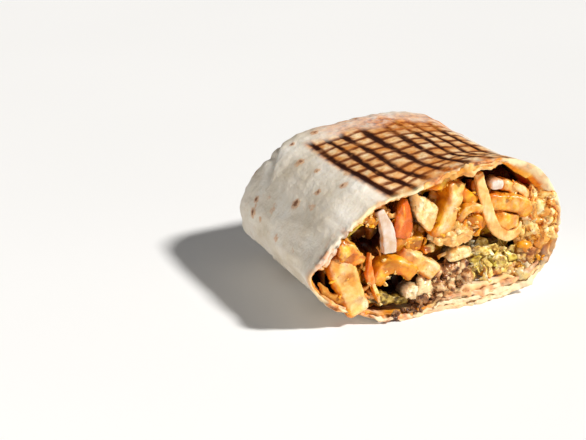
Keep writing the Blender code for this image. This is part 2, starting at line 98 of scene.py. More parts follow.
# Fineness of the meshes

AROUND = 400
OUTSIDE_STEPS = 124
INSIDE_STEPS = 20
RIM_STEPS = 12
CAP_STEPS = 42


def smoothstep(start, end, value):
    t = np.clip((value - start) / (end - start), 0, 1)
    return t * t * (3 - 2 * t)


def bump(start, end, value, edge):
    """1 between start and end, easing to 0 over the edge width on both sides."""
    return smoothstep(start, start + edge, value) * (1 - smoothstep(end - edge, end, value))


def rough(points, size, seed):
    """Smooth noise at each point, from about -1 to 1, with lumps of about that size."""
    points = np.asarray(points, float)
    shift = Vector((seed * 7.3, seed * 3.1, seed * 5.7))
    flat = points.reshape(-1, 3) / size
    values = [noise.noise(Vector(p) + shift) for p in flat.tolist()]
    return 2 * np.array(values).reshape(points.shape[:-1])


def layers(points, *terms):
    """Noise of several sizes added up: each term is its amount, size and seed."""
    return sum(amount * rough(points, size, seed) for amount, size, seed in terms)


# Curves and sections, as in the solids

def spline(a, b, c, d, t):
    """The smooth curve between b and c, at the share t of the way."""
    return 0.5 * (2 * b + (c - a) * t + (2 * a - 5 * b + 4 * c - d) * t ** 2
                  + (3 * b - a - 3 * c + d) * t ** 3)


def closed_curve(points, count):
    """A smooth closed line through the points, as count points at equal steps along it."""
    p = np.array(points, float)
    t = np.linspace(0, 1, 40, endpoint=False)[:, None]
    parts = [spline(p[i - 1], p[i], p[(i + 1) % len(p)], p[(i + 2) % len(p)], t) for i in range(len(p))]
    line = np.concatenate(parts + [p[:1]])
    along = np.concatenate([[0], np.cumsum(np.linalg.norm(np.diff(line, axis=0), axis=1))])
    steps = np.linspace(0, along[-1], count, endpoint=False)
    return np.stack([np.interp(steps, along, line[:, k]) for k in (0, 1)], 1)


def open_curve(points, count):
    """A smooth open line through the points, of any dimension."""
    p = np.array(points, float)
    p = np.concatenate([2 * p[:1] - p[1:2], p, 2 * p[-1:] - p[-2:-1]])
    out = []
    for s in np.linspace(0, len(points) - 1, count):
        i = min(int(s), len(points) - 2)
        out.append(spline(*p[i:i + 4], s - i))
    return np.array(out)


RIM = closed_curve(RIM_OUTLINE, AROUND)
BODY = closed_curve(BODY_OUTLINE, AROUND)


def taper(y, start, power, end):
    q = np.clip((y - start) / (LENGTH - start), 0, 1)
    return end + (1 - end) * (1 - q ** power) ** (1 / power)


def outline(y):
    """The outer section of the tortilla at depth y, counter-clockwise seen from the cut."""
    w = smoothstep(0, FLARE_DEPTH, y)
    scale = np.array([taper(y, *WIDTH_TAPER), taper(y, *HEIGHT_TAPER)])
    points = RIM * (1 - w) + BODY * w
    points[:, 1] = np.maximum(points[:, 1], FLAT_SPOT)
    return END_CENTRE + (points - END_CENTRE) * scale


def thickness(points, y):
    """The tortilla's thickness at each point of a section: thicker where its layers are tucked."""
    x, z = points.T
    tuck = bump(*TUCK_RANGE, x, 11) * (1 - smoothstep(TUCK_HEIGHT - 6, TUCK_HEIGHT, z))
    return WALL + TUCK_THICKNESS * tuck * (1 - smoothstep(FILL_END, LENGTH, y))


def inset(points, distance):
    """The section moved inwards by a distance, which may differ from point to point."""
    tangent = np.roll(points, -1, 0) - np.roll(points, 1, 0)
    tangent /= np.linalg.norm(tangent, axis=1)[:, None]
    inward = np.stack([-tangent[:, 1], tangent[:, 0]], 1)
    return points + inward * np.broadcast_to(distance, len(points))[:, None]


def rim_depth(points):
    """How far the torn cut edge stands back or forward of the cut plane, round the section."""
    x, z = points.T
    ripple = 0.5 * np.sin(x * 0.21 + 1.3) + 0.35 * np.sin(z * 0.33 + x * 0.1) + 0.25 * np.sin(x * 0.55)
    dropped_corner = 1.6 * bump(-56, -26, x, 10) * (1 - smoothstep(16, 30, z))
    lifted_crown = -1.0 * bump(8, 40, x, 10) * smoothstep(45, 55, z)
    return ripple + dropped_corner + lifted_crown


def flap_line(x, z):
    """0 below the edge of the flap that closes the folded end, 1 on the flap."""
    return smoothstep(0, 1.6, z - FLAP_EDGE - FLAP_SLOPE * x - 0.8 * np.sin(x * 0.23))


def fold_relief(points, y):
    """How far the closing flap and the pleats at its corners raise the surface at the folded end."""
    x, z = points.T
    over_end = smoothstep(FLAP_START, FLAP_START + 12, y)
    crease = np.abs(np.abs(x - END_CENTRE[0]) - 27 - 0.45 * (z - END_CENTRE[1]))
    return over_end * (FLAP_STEP * flap_line(x, z) - PLEAT_DEPTH * np.exp(-(crease / 1.8) ** 2))


ROOM_X = np.linspace(-56, 56, 225)
ROOM_Y = np.linspace(0, FILL_END, 25)


def room_lines(y):
    """The free section inside the tortilla at depth y: its lower and upper line over ROOM_X."""
    points = outline(y)
    points = inset(points, thickness(points, y) + CLEARANCE)
    left, right = points[:, 0].argmin(), points[:, 0].argmax()
    points = np.roll(points, -left, 0)
    right = (right - left) % len(points)
    lines = points[:right + 1], np.concatenate([points[right:], points[:1]])
    return [np.interp(ROOM_X, *line[line[:, 0].argsort()].T) for line in lines]


ROOM = np.array([room_lines(y) for y in ROOM_Y])


def room_at(x, y, side):
    """The floor, side 0, or the ceiling, side 1, of the free room inside the tortilla."""
    i = np.clip(y / ROOM_Y[1], 0, len(ROOM_Y) - 1.001)
    k = np.clip((x - ROOM_X[0]) / (ROOM_X[1] - ROOM_X[0]), 0, len(ROOM_X) - 1.001)
    i0, k0 = i.astype(int), k.astype(int)
    part_y, part_x = i - i0, k - k0
    near = ROOM[i0, side, k0] * (1 - part_x) + ROOM[i0, side, k0 + 1] * part_x
    far = ROOM[i0 + 1, side, k0] * (1 - part_x) + ROOM[i0 + 1, side, k0 + 1] * part_x
    return near * (1 - part_y) + far * part_y


def deepen(x, z, y):
    """Where a point of the cut section lies at depth y, as the body narrows behind the flared edge."""
    squeeze = 1 - 0.07 * smoothstep(0, FLARE_DEPTH, y)
    cx, cz = END_CENTRE
    return cx + (x * squeeze - cx) * taper(y, *WIDTH_TAPER), cz + (z - cz) * taper(y, *HEIGHT_TAPER)


def line_at(points, x):
    return np.interp(x, *np.array(points, float).T)


def room_floor(x, y):
    """The floor under a place of the cut, at depth y."""
    return room_at(deepen(x, 0, y)[0], y, 0)


def below(line):
    """The top of a filling whose top is that line at the cut."""
    return lambda x, y: deepen(x, line_at(line, x), y)[1]


# Meshes

LOW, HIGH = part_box("tortilla")
SHIFT = np.array([LOW[0] / MM - closed_curve(RIM_OUTLINE, 60)[:, 0].min(),
                  HIGH[1] / MM - LENGTH - CAP_BULGE, -FLAT_SPOT])


def place(points):
    return (np.asarray(points, float) + SHIFT) * MM


def add_object(name, data):
    obj = bpy.data.objects.new(name, data)
    bpy.context.scene.collection.objects.link(obj)
    return obj


def ring_normals(rings):
    """Outward directions on a grid of closed rings, as (rings, around, 3)."""
    along = np.gradient(rings, axis=0)
    around = np.roll(rings, -1, 1) - np.roll(rings, 1, 1)
    normals = np.cross(around, along)
    normals /= np.maximum(np.linalg.norm(normals, axis=2), 1e-9)[..., None]
    middle = rings.mean(axis=(0, 1))
    return normals if np.sum(normals * (rings - middle)) > 0 else -normals


def swollen(rings, amount):
    """The rings moved outwards by an amount at each point."""
    return rings + ring_normals(rings) * amount[..., None]


def ring_faces(rings, around):
    """Quads between closed rings, and fans on a middle point at each end."""
    faces = []
    for k in range(rings - 1):
        for i in range(around):
            j = (i + 1) % around
            faces.append((k * around + i, k * around + j, (k + 1) * around + j, (k + 1) * around + i))
    first, last = rings * around, rings * around + 1
    end = (rings - 1) * around
    faces += [((i + 1) % around, i, first) for i in range(around)]
    faces += [(end + i, end + (i + 1) % around, last) for i in range(around)]
    return faces


class Batch:
    """Meshes gathered into one piece, with named numbers on their vertices."""

    def __init__(self, *names):
        self.points = []
        self.faces = []
        self.values = {name: [] for name in names}
        self.count = 0

    def add(self, points, faces, **values):
        self.points.append(points)
        self.faces += [tuple(i + self.count for i in face) for face in faces]
        for name, kept in self.values.items():
            kept.append(np.broadcast_to(values.get(name, 0.0), len(points)))
        self.count += len(points)

    def add_rings(self, rings, **values):
        count, around = rings.shape[:2]
        ends = np.stack([rings[0].mean(0), rings[-1].mean(0)])
        spread = {}
        for name, value in values.items():
            value = np.broadcast_to(value, (count, around))
            spread[name] = np.concatenate([value.ravel(), [value[0].mean(), value[-1].mean()]])
        self.add(np.concatenate([rings.reshape(-1, 3), ends]), ring_faces(count, around), **spread)

    def piece(self, name, look, node):
        """Makes the piece: it rides on the body and stands for that node of the solids."""
        points = np.concatenate(self.points)
        points[:, 2] = np.maximum(points[:, 2], FLAT_SPOT)
        mesh = bpy.data.meshes.new(name)
        mesh.from_pydata(place(points).tolist(), [], self.faces)
        shape = bmesh.new()
        shape.from_mesh(mesh)
        bmesh.ops.recalc_face_normals(shape, faces=shape.faces)
        shape.to_mesh(mesh)
        shape.free()
        for attribute, parts in self.values.items():
            layer = mesh.attributes.new(attribute, "FLOAT", "POINT")
            layer.data.foreach_set("value", np.concatenate(parts).astype(np.float32))
        mesh.shade_smooth()
        mesh.materials.append(look)
        obj = add_object(name, mesh)
        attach(obj, "root")
        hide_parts(node)


def section(around, power):
    """A rounded square section, 1 wide: the higher the power, the squarer."""
    angle = np.linspace(0, 2 * math.pi, around, endpoint=False) + math.pi / around
    c, s = np.cos(angle), np.sin(angle)
    return np.stack([np.sign(c) * np.abs(c) ** (2 / power), np.sign(s) * np.abs(s) ** (2 / power)], 1) / 2


# The rounded ends of a bar: how wide each of its rings is, and how far out it lies
BAR_CAP = ((0.05, 1.0), (0.35, 0.99), (0.62, 0.95), (0.82, 0.82), (0.94, 0.52))


def bar_rings(path, width, height, roll, around, power, nose=0.12):
    """Rings along a path, with rounded ends, and how far each ring belongs to an end."""
    path = np.asarray(path, float)
    tangents = np.gradient(path, axis=0)
    tangents /= np.linalg.norm(tangents, axis=1)[:, None]
    width, height, roll = (np.broadcast_to(value, len(path)) for value in (width, height, roll))
    tip = nose * min(width[0], height[0])
    stations = [(0, scale, -tip * part) for scale, part in BAR_CAP]
    stations += [(k, 1.0, 0.0) for k in range(len(path))]
    stations += [(len(path) - 1, scale, tip * part) for scale, part in reversed(BAR_CAP)]
    shape = section(around, power)
    rings, ends = [], []
    for k, scale, offset in stations:
        along = tangents[k]
        depth = np.array([0, 1.0, 0]) if abs(along[1]) < 0.8 else np.array([0, 0, 1.0])
        side = np.cross(depth, along)
        side /= np.linalg.norm(side)
        depth = np.cross(along, side)
        turn = math.radians(roll[k])
        a = side * math.cos(turn) + depth * math.sin(turn)
        b = depth * math.cos(turn) - side * math.sin(turn)
        ring = np.outer(shape[:, 0] * width[k], a) + np.outer(shape[:, 1] * height[k], b)
        rings.append(path[k] + along * offset + scale * ring)
        ends.append(1.0 if scale < 0.9 else 0.0)
    return np.array(rings), np.array(ends)[:, None]


def ring_at(line, y):
    """A ring whose points lie on a line of the section, at the depths y."""
    return np.stack([line[:, 0], np.broadcast_to(y, len(line)), line[:, 1]], 1)


def chunk_rings(corners, front, back, rounding=0.9, around=72):
    """Rings of a piece that the knife went through, from the middle of its front over its side to its back,
    and how near each ring is to the edge."""
    edge = closed_curve(corners, around)
    middle = edge.mean(0)
    reach = [0.05, 0.2, 0.36, 0.52, 0.66, 0.78, 0.88, 0.95, 0.99, 1.0]
    depths = [front + rounding * (1 - math.sqrt(max(1 - scale ** 6, 0))) for scale in reach]
    depths += [front + rounding + (back - rounding - front) * part for part in (0.15, 0.35, 0.6, 0.85, 1.0)]
    depths += [back] * 3
    reach += [1.0] * 5 + [0.93, 0.6, 0.1]
    rings = [ring_at(middle + (edge - middle) * scale, y) for scale, y in zip(reach, depths)]
    return np.array(rings), np.array(reach)[:, None]


def sphere(subdivisions):
    shape = bmesh.new()
    bmesh.ops.create_icosphere(shape, subdivisions=subdivisions, radius=1)
    points = np.array([v.co for v in shape.verts])
    faces = [tuple(v.index for v in face.verts) for face in shape.faces]
    shape.free()
    return points, faces


SPHERES = {k: sphere(k) for k in (2, 3, 4)}


def lump(batch, centre, radius, generator, fineness, roughness, squash, **values):
    """A rough crumb, turned at random."""
    points, faces = SPHERES[fineness]
    seed = generator.uniform(0, 100)
    swell = roughness * rough(points, 1.1, seed)
    swell = swell + 0.6 * roughness * (0.35 - np.abs(rough(points, 0.55, seed + 5)))
    swell = swell + 0.22 * roughness * rough(points, 0.25, seed + 9)
    points = points * (1 + swell)[:, None] * np.array(squash) * radius
    turn, _ = np.linalg.qr(generator.normal(size=(3, 3)))
    batch.add(np.array(centre) + points @ turn, faces, crest=1.6 * swell, **values)


def pick(points, generator):
    return points[generator.integers(0, len(points))]


# Where a filling has rings behind its front, as shares of the way to its back
BACK_STATIONS = (0.12, 0.3, 0.6, 1.0)


def fine_filling(batch, edges, columns, rows, low, high, front, lumps, **values):
    """A filling that runs back through the food behind a fine, uneven front. Returns its front grid."""
    x = np.linspace(*edges, columns)[:, None] * np.ones((1, rows))
    t = np.linspace(0, 1, rows)[None, :] * np.ones((columns, 1))

    def between(x, y, t):
        return low(x, y) + (high(x, y) - low(x, y)) * t

    y = front(x, between(x, np.zeros_like(x), t))
    # Painted shade: the front is darkened, more where it lies further back, and the part behind it is fully
    # dark
    deep = 0.45 + 0.55 * smoothstep(0.5, 6.0, y - y.min())
    grid = np.stack([deepen(x, 0, y)[0], y, between(x, y, t)], 2)
    relief = layers(grid, *lumps)
    grid[..., 1] -= relief
    index = np.arange(columns * rows).reshape(columns, rows)
    quads = np.stack([index[:-1, :-1], index[1:, :-1], index[1:, 1:], index[:-1, 1:]], 2)
    faces = quads.reshape(-1, 4).tolist()
    before = np.concatenate([index[:, 0], index[-1, 1:], index[-2::-1, -1], index[0, -2:0:-1]])
    edge_x, edge_t, edge_y = (part.ravel()[before] for part in (x, t, grid[..., 1]))
    points = [grid.reshape(-1, 3)]
    count = columns * rows
    for share in BACK_STATIONS:
        y = edge_y + (FILL_END - edge_y) * share
        points.append(np.stack([deepen(edge_x, 0, y)[0], y, between(edge_x, y, edge_t)], 1))
        after = count + np.arange(len(before))
        faces += np.stack([before, np.roll(before, -1), np.roll(after, -1), after], 1).tolist()
        count += len(before)
        before = after
    faces.append(before.tolist())
    behind = count - columns * rows
    batch.add(np.concatenate(points), faces, deep=np.concatenate([deep.ravel(), np.ones(behind)]),
              crest=0.8 * np.concatenate([relief.ravel(), np.zeros(behind)]), **values)
    return grid


# Materials

def srgb(colour):
    """A colour as it looks on screen, 0 to 255, as the linear one that a shader takes."""
    parts = [c / 255 for c in colour]
    return tuple(c / 12.92 if c < 0.04 else ((c + 0.055) / 1.055) ** 2.4 for c in parts) + (1.0,)


class Look:
    """A material built from nodes, with patterns sized in millimetres and colours from 0 to 255."""

    def __init__(self, name, **fixed):
        self.material = bpy.data.materials.new(name)
        self.material.use_nodes = True
        self.nodes = self.material.node_tree.nodes
        self.links = self.material.node_tree.links
        self.shader = self.nodes["Principled BSDF"]
        self.place = self.nodes.new("ShaderNodeTexCoord").outputs["Object"]
        for socket, value in fixed.items():
            self.shader.inputs[socket.replace("_", " ")].default_value = value

    def put(self, socket, value):
        if isinstance(value, bpy.types.NodeSocket):
            self.links.new(value, socket)
        else:
            socket.default_value = srgb(value) if isinstance(value, tuple) else value

    def attribute(self, name):
        node = self.nodes.new("ShaderNodeAttribute")
        node.attribute_name = name
        return node.outputs["Fac"]

    def stretched(self, stretch):
        node = self.nodes.new("ShaderNodeMapping")
        self.links.new(self.place, node.inputs["Vector"])
        node.inputs["Scale"].default_value = [1 / s for s in stretch]
        return node.outputs["Vector"]

    def noise(self, size, detail, stretch=None, distortion=0.0):
        node = self.nodes.new("ShaderNodeTexNoise")
        self.links.new(self.stretched(stretch) if stretch else self.place, node.inputs["Vector"])
        node.inputs["Scale"].default_value = 1 / (size * MM)
        node.inputs["Detail"].default_value = detail
        node.inputs["Distortion"].default_value = distortion
        return node.outputs["Fac"]

    def math(self, operation, first, second, third=0.0):
        node = self.nodes.new("ShaderNodeMath")
        node.operation = operation
        for socket, value in zip(node.inputs, (first, second, third)):
            self.put(socket, value)
        return node.outputs[0]

    def plus(self, first, second):
        return self.math("ADD", first, second)

    def times(self, first, second):
        return self.math("MULTIPLY", first, second)

    def uneven(self, size, detail):
        """Noise above and below 0."""
        return self.math("SUBTRACT", self.noise(size, detail), 0.5)

    def ease(self, value, start, end, low=0.0, high=1.0):
        node = self.nodes.new("ShaderNodeMapRange")
        node.interpolation_type = "SMOOTHSTEP"
        names = "Value", "From Min", "From Max", "To Min", "To Max"
        for name, part in zip(names, (value, start, end, low, high)):
            self.put(node.inputs[name], part)
        return node.outputs["Result"]

    def patches(self, size, detail, start, end, low=0.0, high=1.0):
        return self.ease(self.noise(size, detail), start, end, low, high)

    def mix(self, factor, first, second):
        node = self.nodes.new("ShaderNodeMix")
        node.data_type = "RGBA"
        for index, value in ((0, factor), (6, first), (7, second)):
            self.put(node.inputs[index], value)
        return node.outputs[2]

    def ramp(self, value, positions, *colours):
        node = self.nodes.new("ShaderNodeValToRGB")
        self.links.new(value, node.inputs["Fac"])
        band = node.color_ramp.elements
        while len(band) < len(colours):
            band.new(0.5)
        for element, position, colour in zip(band, positions, colours):
            element.position = position
            element.color = srgb(colour)
        return node.outputs["Color"]

    def bump(self, height, distance, strength):
        node = self.nodes.new("ShaderNodeBump")
        node.inputs["Strength"].default_value = strength
        node.inputs["Distance"].default_value = distance * MM
        self.put(node.inputs["Height"], height)
        self.links.new(node.outputs["Normal"], self.shader.inputs["Normal"])

    def done(self, colour, roughness):
        self.put(self.shader.inputs["Base Color"], colour)
        self.put(self.shader.inputs["Roughness"], roughness)
        return self.material


def tortilla_look():
    look = Look("tortilla", Subsurface_Radius=(3.2, 1.9, 0.5), Subsurface_Scale=0.001,
                Specular_IOR_Level=0.12)
    thin = look.math("MULTIPLY_ADD", look.attribute("thin"), 0.8, 0.03)
    look.put(look.shader.inputs["Subsurface Weight"], thin)
    fine = look.noise(1.6, 3)
    pale = look.ramp(look.noise(15, 4), (0.32, 0.5, 0.68), (226, 213, 192), (240, 230, 214), (249, 243, 232))
    pale = look.mix(look.ease(fine, 0.5, 0.75, 0, 0.25), pale, (220, 194, 156))
    # Toasted blisters: an orange-brown ring round a dark middle
    blister = look.plus(look.attribute("blister"), look.times(look.uneven(1.4, 4), 0.9))
    pale = look.mix(look.ease(blister, 0.2, 0.55, 0, 0.6), pale, (216, 152, 92))
    pale = look.mix(look.ease(blister, 0.6, 0.85, 0, 0.8), pale, (112, 56, 26))
    # The grill patch: toasted cells between dark pressed lines
    cells = look.ramp(look.noise(6, 3), (0.34, 0.5, 0.68), (252, 228, 184), (244, 198, 138), (222, 148, 76))
    cells = look.mix(look.ease(fine, 0.45, 0.7, 0, 0.4), cells, (204, 126, 60))
    wobble = look.times(look.uneven(3.5, 4), 1.4)
    long_way = look.times(look.math("PINGPONG", look.attribute("grill_u"), 0.5), LINE_STEP)
    long_way = look.plus(long_way, look.math("SUBTRACT", wobble, look.patches(10, 2, 0.48, 0.6, 0, 0.45)))
    cross_way = look.times(look.math("PINGPONG", look.attribute("grill_v"), 0.5), CROSS_STEP)
    cross_way = look.plus(cross_way, look.times(wobble, 0.6))
    halo = look.math("MAXIMUM", look.ease(long_way, 3.0, 0.8), look.ease(cross_way, 2.4, 0.5, 0, 0.85))
    cells = look.mix(look.times(halo, 0.72), cells, (196, 104, 34))
    drawn = look.attribute("lines")
    cross_line = look.times(look.ease(cross_way, 1.7, 0.35, 0, 0.9), look.patches(5, 2, 0.3, 0.5, 0.5))
    cells = look.mix(look.times(cross_line, drawn), cells, (104, 44, 12))
    long_line = look.times(look.ease(long_way, 1.8, 0.45), look.patches(7, 3, 0.3, 0.5, 0.6))
    cells = look.mix(look.times(long_line, drawn), cells, (50, 18, 6))
    colour = look.mix(look.attribute("grill"), pale, cells)
    # Browning at the shoulders and the cut edge, and sauce on the inner wall
    colour = look.mix(look.times(look.attribute("cream"), 0.8), colour, (246, 220, 166))
    toast = look.times(look.attribute("toast"), look.patches(4, 4, 0.28, 0.55, 0.4))
    burnt = look.ramp(look.noise(2.2, 4), (0.36, 0.52, 0.68), (240, 158, 72), (208, 108, 30), (128, 50, 10))
    colour = look.mix(look.times(toast, 0.92), colour, burnt)
    stained = look.attribute("stain")
    stain = look.ramp(look.noise(7, 4), (0.34, 0.5, 0.66), (255, 200, 96), (252, 168, 48), (224, 112, 18))
    colour = look.mix(stained, colour, stain)
    # Painted shade: the inner wall darkens deep inside and in spots along the open left edge; dried sauce on
    # the lower cut edge is darkened too
    colour = look.mix(look.attribute("deep"), colour, (58, 18, 6))
    look.bump(look.plus(look.noise(0.9, 4), look.times(look.noise(3, 3), 1.4)), 0.28, 0.7)
    return look.done(colour, look.ease(stained, 0, 1, 0.65, 0.3))


def fried_look():
    look = Look("fries", Subsurface_Weight=0.1, Subsurface_Radius=(1.6, 0.8, 0.3), Subsurface_Scale=0.001,
                Coat_Weight=0.3, Coat_Roughness=0.16, Specular_IOR_Level=0.35)
    large, fine = look.noise(5, 4), look.noise(1.1, 4)
    skin = look.ramp(large, (0.3, 0.5, 0.7), (226, 132, 8), (246, 172, 24), (254, 204, 60))
    pale = look.ramp(large, (0.34, 0.5, 0.66), (238, 184, 84), (252, 218, 134), (255, 240, 192))
    mottled = look.plus(look.math("SUBTRACT", fine, 0.5), look.uneven(2.6, 3))
    # The pale attribute carries the painted highlight on the lit side of the fries, besides pale cut ends and
    # pale crumbs
    paleness = look.plus(look.attribute("pale"), look.times(mottled, 0.9))
    colour = look.mix(look.ease(paleness, 0.2, 0.85), skin, pale)
    glaze = look.ramp(look.noise(2.6, 4), (0.38, 0.6), (190, 78, 0), (240, 134, 12))
    # Colours laid over the skin in patches: where and how much of each shows, and its colour; sauce is real,
    # amber is painted shade on the undersides mixed with sauce stain, crisp is browning drawn on the shaded
    # edges
    for name, patches, amount, tint in (("sauce", (3.4, 3, 0.42, 0.62), 0.5, (236, 122, 18)),
                                        ("amber", (3, 4, 0.25, 0.5, 0.5), 0.85, glaze),
                                        ("crisp", (1.8, 4, 0.35, 0.6), 0.6, (190, 90, 14))):
        share = look.times(look.attribute(name), look.patches(*patches))
        colour = look.mix(look.times(share, amount), colour, tint)
    # Painted shade: the valleys of the relief (low crest) are darkened
    colour = look.mix(look.ease(look.attribute("crest"), 0.1, -0.7, 0, 0.75), colour, (168, 74, 8))
    colour = look.mix(look.ease(fine, 0.62, 0.72, 0, 0.45), colour, (146, 66, 14))
    # Painted shade from the deep attribute: darker where pieces lie deep, with random darker patches and
    # crumbs
    colour = look.mix(look.attribute("deep"), colour, (58, 15, 4))
    look.bump(look.plus(fine, look.noise(3, 3)), 0.3, 0.6)
    return look.done(colour, look.patches(4, 2, 0.35, 0.65, 0.24, 0.48))


def food_look(name, dark, middle, light, size, fine, relief, roughness, coat, subsurface, rim=None,
              specks=None, streaks=None):
    """Moist food: three tones in patches, a tinted rim, specks of another colour, streaks."""
    look = Look(name, Subsurface_Weight=subsurface, Subsurface_Radius=(1.5, 0.9, 0.5), Subsurface_Scale=0.001,
                Coat_Weight=coat, Coat_Roughness=0.15, Specular_IOR_Level=0.35)
    patches = look.noise(size, 4, distortion=0.4)
    colour = look.ramp(patches, (0.32, 0.5, 0.68), dark, middle, light)
    if streaks:
        tint, along, amount = streaks
        lines = look.ease(look.noise(0.8, 3, stretch=along), 0.46, 0.64, 0, amount)
        colour = look.mix(lines, colour, tint)
    if rim:
        tint, start, amount = rim
        edge = look.plus(look.attribute("reach"), look.uneven(2.4, 3))
        colour = look.mix(look.ease(edge, start, start + 0.3, 0, amount), colour, tint)
    if specks:
        tint, level, amount = specks
        colour = look.mix(look.patches(1.3, 4, level, level + 0.1, 0, amount), colour, tint)
    # Painted shade: the valleys of the relief (low crest) are darkened
    colour = look.mix(look.ease(look.attribute("crest"), 0.15, -0.6, 0, 0.85), colour, dark)
    # The deep attribute darkens: painted shade where fillings lie back or behind the front, and random darker
    # tone of some crumbs and drips
    colour = look.mix(look.attribute("deep"), colour, (44, 15, 6))
    look.bump(look.plus(look.noise(fine, 4), patches), relief, 0.7)
    return look.done(colour, look.patches(2.5, 2, 0.35, 0.65, *roughness))


# Moist foods: dark, middle and light tone, size of their patches, fine grain and relief, roughness, coat,
# light under the surface, then the tint, start and share of the rim and of the specks, and the tint, stretch
# and share of the streaks
FOODS = {
    "ground_meat": ((78, 32, 12), (190, 128, 74), (246, 206, 152), 2.4, 0.6, 0.3, (0.3, 0.5), 0.3, 0.05,
                    ((252, 222, 168), 0.55, 0.85), ((74, 28, 12), 0.6, 0.75)),
    "lettuce": ((146, 88, 14), (246, 214, 112), (255, 250, 216), 2.8, 0.7, 0.2, (0.22, 0.4), 0.4, 0.12,
                ((222, 204, 66), 0.66, 0.65), ((116, 58, 12), 0.58, 0.8)),
    "egg_crumble": ((194, 98, 14), (250, 204, 112), (255, 240, 190), 3.4, 0.7, 0.25, (0.22, 0.42), 0.3, 0.1,
                    ((240, 156, 48), 0.66, 0.85), ((140, 56, 8), 0.6, 0.85)),
    "white_onion": ((206, 172, 138), (222, 204, 188), (238, 228, 220), 5.0, 0.8, 0.1, (0.16, 0.3), 0.6, 0.35,
                    ((214, 150, 82), 0.72, 0.85), None, ((206, 172, 138), (1, 4, 5), 0.3)),
    "stained_onion": ((232, 150, 62), (250, 204, 124), (255, 232, 178), 5.0, 0.8, 0.1, (0.16, 0.3), 0.6, 0.35,
                      ((236, 138, 36), 0.72, 0.85), None, ((232, 150, 62), (1, 4, 5), 0.3)),
    "pale_leaf": ((242, 186, 108), (253, 224, 164), (255, 244, 214), 3.2, 0.8, 0.3, (0.2, 0.35), 0.4, 0.3,
                  ((238, 152, 50), 0.84, 0.8), ((196, 110, 34), 0.61, 0.6), ((242, 176, 84), (1, 4, 6), 0.3)),
    "melted_cheese": ((226, 160, 76), (250, 222, 150), (255, 244, 198), 2.8, 0.8, 0.3, (0.25, 0.45), 0.3, 0.3,
                      ((226, 150, 60), 0.74, 0.6), ((164, 84, 24), 0.6, 0.7)),
    "cheese_block": ((222, 172, 84), (246, 226, 164), (255, 248, 220), 2.8, 0.8, 0.3, (0.25, 0.45), 0.3, 0.3,
                     ((226, 150, 60), 0.74, 0.6), ((164, 84, 24), 0.6, 0.7)),
    "white_cheese": ((218, 186, 130), (244, 226, 186), (255, 248, 226), 2.4, 0.7, 0.2, (0.3, 0.5), 0.2, 0.3,
                     ((196, 136, 66), 0.75, 0.6)),
    "tomato": ((208, 92, 2), (230, 126, 14), (244, 172, 92), 3.6, 0.7, 0.3, (0.14, 0.3), 0.35, 0.06,
               ((214, 94, 2), 0.62, 0.8), None, ((222, 108, 6), (1, 4, 5), 0.4)),
    "wilted_leaf": ((84, 60, 16), (158, 126, 46), (206, 178, 90), 3.0, 0.8, 0.25, (0.3, 0.5), 0.3, 0.1,
                    None, ((44, 26, 8), 0.56, 0.7)),
    "browned_bits": ((126, 62, 18), (202, 134, 60), (240, 190, 114), 2.6, 0.7, 0.3, (0.35, 0.6), 0.25, 0.15,
                     None, ((76, 30, 8), 0.58, 0.8)),
    "green_strip": ((134, 108, 6), (196, 164, 30), (228, 202, 84), 3.0, 0.8, 0.15, (0.2, 0.35), 0.5, 0.3,
                    ((126, 80, 6), 0.75, 0.6)),
}
LOOKS = {name: food_look(name, *values) for name, values in FOODS.items()}


# The tortilla

# Long grill lines: place behind the bend and how far they bend to the right towards the cut
GRILL_LINES = [(-24.6, 4.8), (-18.3, 6.6), (-11.2, 7.2), (-1.6, 6.2), (8.0, 4.0), (14.7, 6.5), (20.5, 9.0),
               (27.5, 9.0)]
LINE_STEP = 8.0
CROSS_LINES = [5.0, 8.7, 14.5, 22.7, 30.0, 37.0, 44.0, 51.0, 58.0]
CROSS_STEP = 7.0
BEND_DEPTH = 17.0
PRESS_DEPTH = 0.35
BLISTERS = 170
SHEET_STEP = 1.4
GROOVES = (0.35, 0.7)
OPEN_RIGHT = 3.4
WALL_REACH = 80.0
CREASE_START = 24.0
CREASE_SPREAD = 0.8
# Strips of the layers that stand out ragged at the cut: on the top, from x to x, how far below or above the
# rim's line, width, thickness, how toasted
RIBBONS = [(True, -10, 6, 1.0, 1.8, 0.8, 0.8), (True, -2, 28, 1.4, 2.6, 0.8, 1.0),
           (True, 6, 25, 2.8, 1.6, 0.7, 1.0), (False, -30, -8, 1.0, 1.8, 1.0, 0.9),
           (False, -12, 16, 1.3, 2.0, 1.2, 0.4), (False, -2, 34, 3.3, 1.9, 1.1, 0.1),
           (False, 14, 47, 1.5, 2.0, 1.2, 0.15), (False, 2, 46, 5.8, 2.0, 1.2, 0.7)]
TOP_STAIN = 0.5
# A fold of the inner wall at the lower left, full of sauce
SOAKED_FOLD = (False, -50, -35, 4.6, 3.4, 3.4, 0.4)


def count_lines(value, lines, step):
    """Where a value lies among rising lines: 0 on the first, 1 on the second and so on."""
    total = np.minimum(value - lines[0], 0) / step + np.maximum(value - lines[-1], 0) / step
    for before, after in zip(lines, lines[1:]):
        total = total + np.clip((value - before) / (after - before), 0, 1)
    return total


def grill_place(x, y):
    bend = 1 - smoothstep(0, BEND_DEPTH, y)
    long_lines = [base + amount * bend + 0.5 * np.sin(y * 0.13 + k * 1.7)
                  for k, (base, amount) in enumerate(GRILL_LINES)]
    tilt = 2.6 * smoothstep(-16, -3, x) + 0.6 * np.sin(x * 0.2)
    cross_lines = [base + tilt + 0.4 * np.sin(x * 0.33 + base) for base in CROSS_LINES]
    return count_lines(x, long_lines, LINE_STEP), count_lines(y, cross_lines, CROSS_STEP)


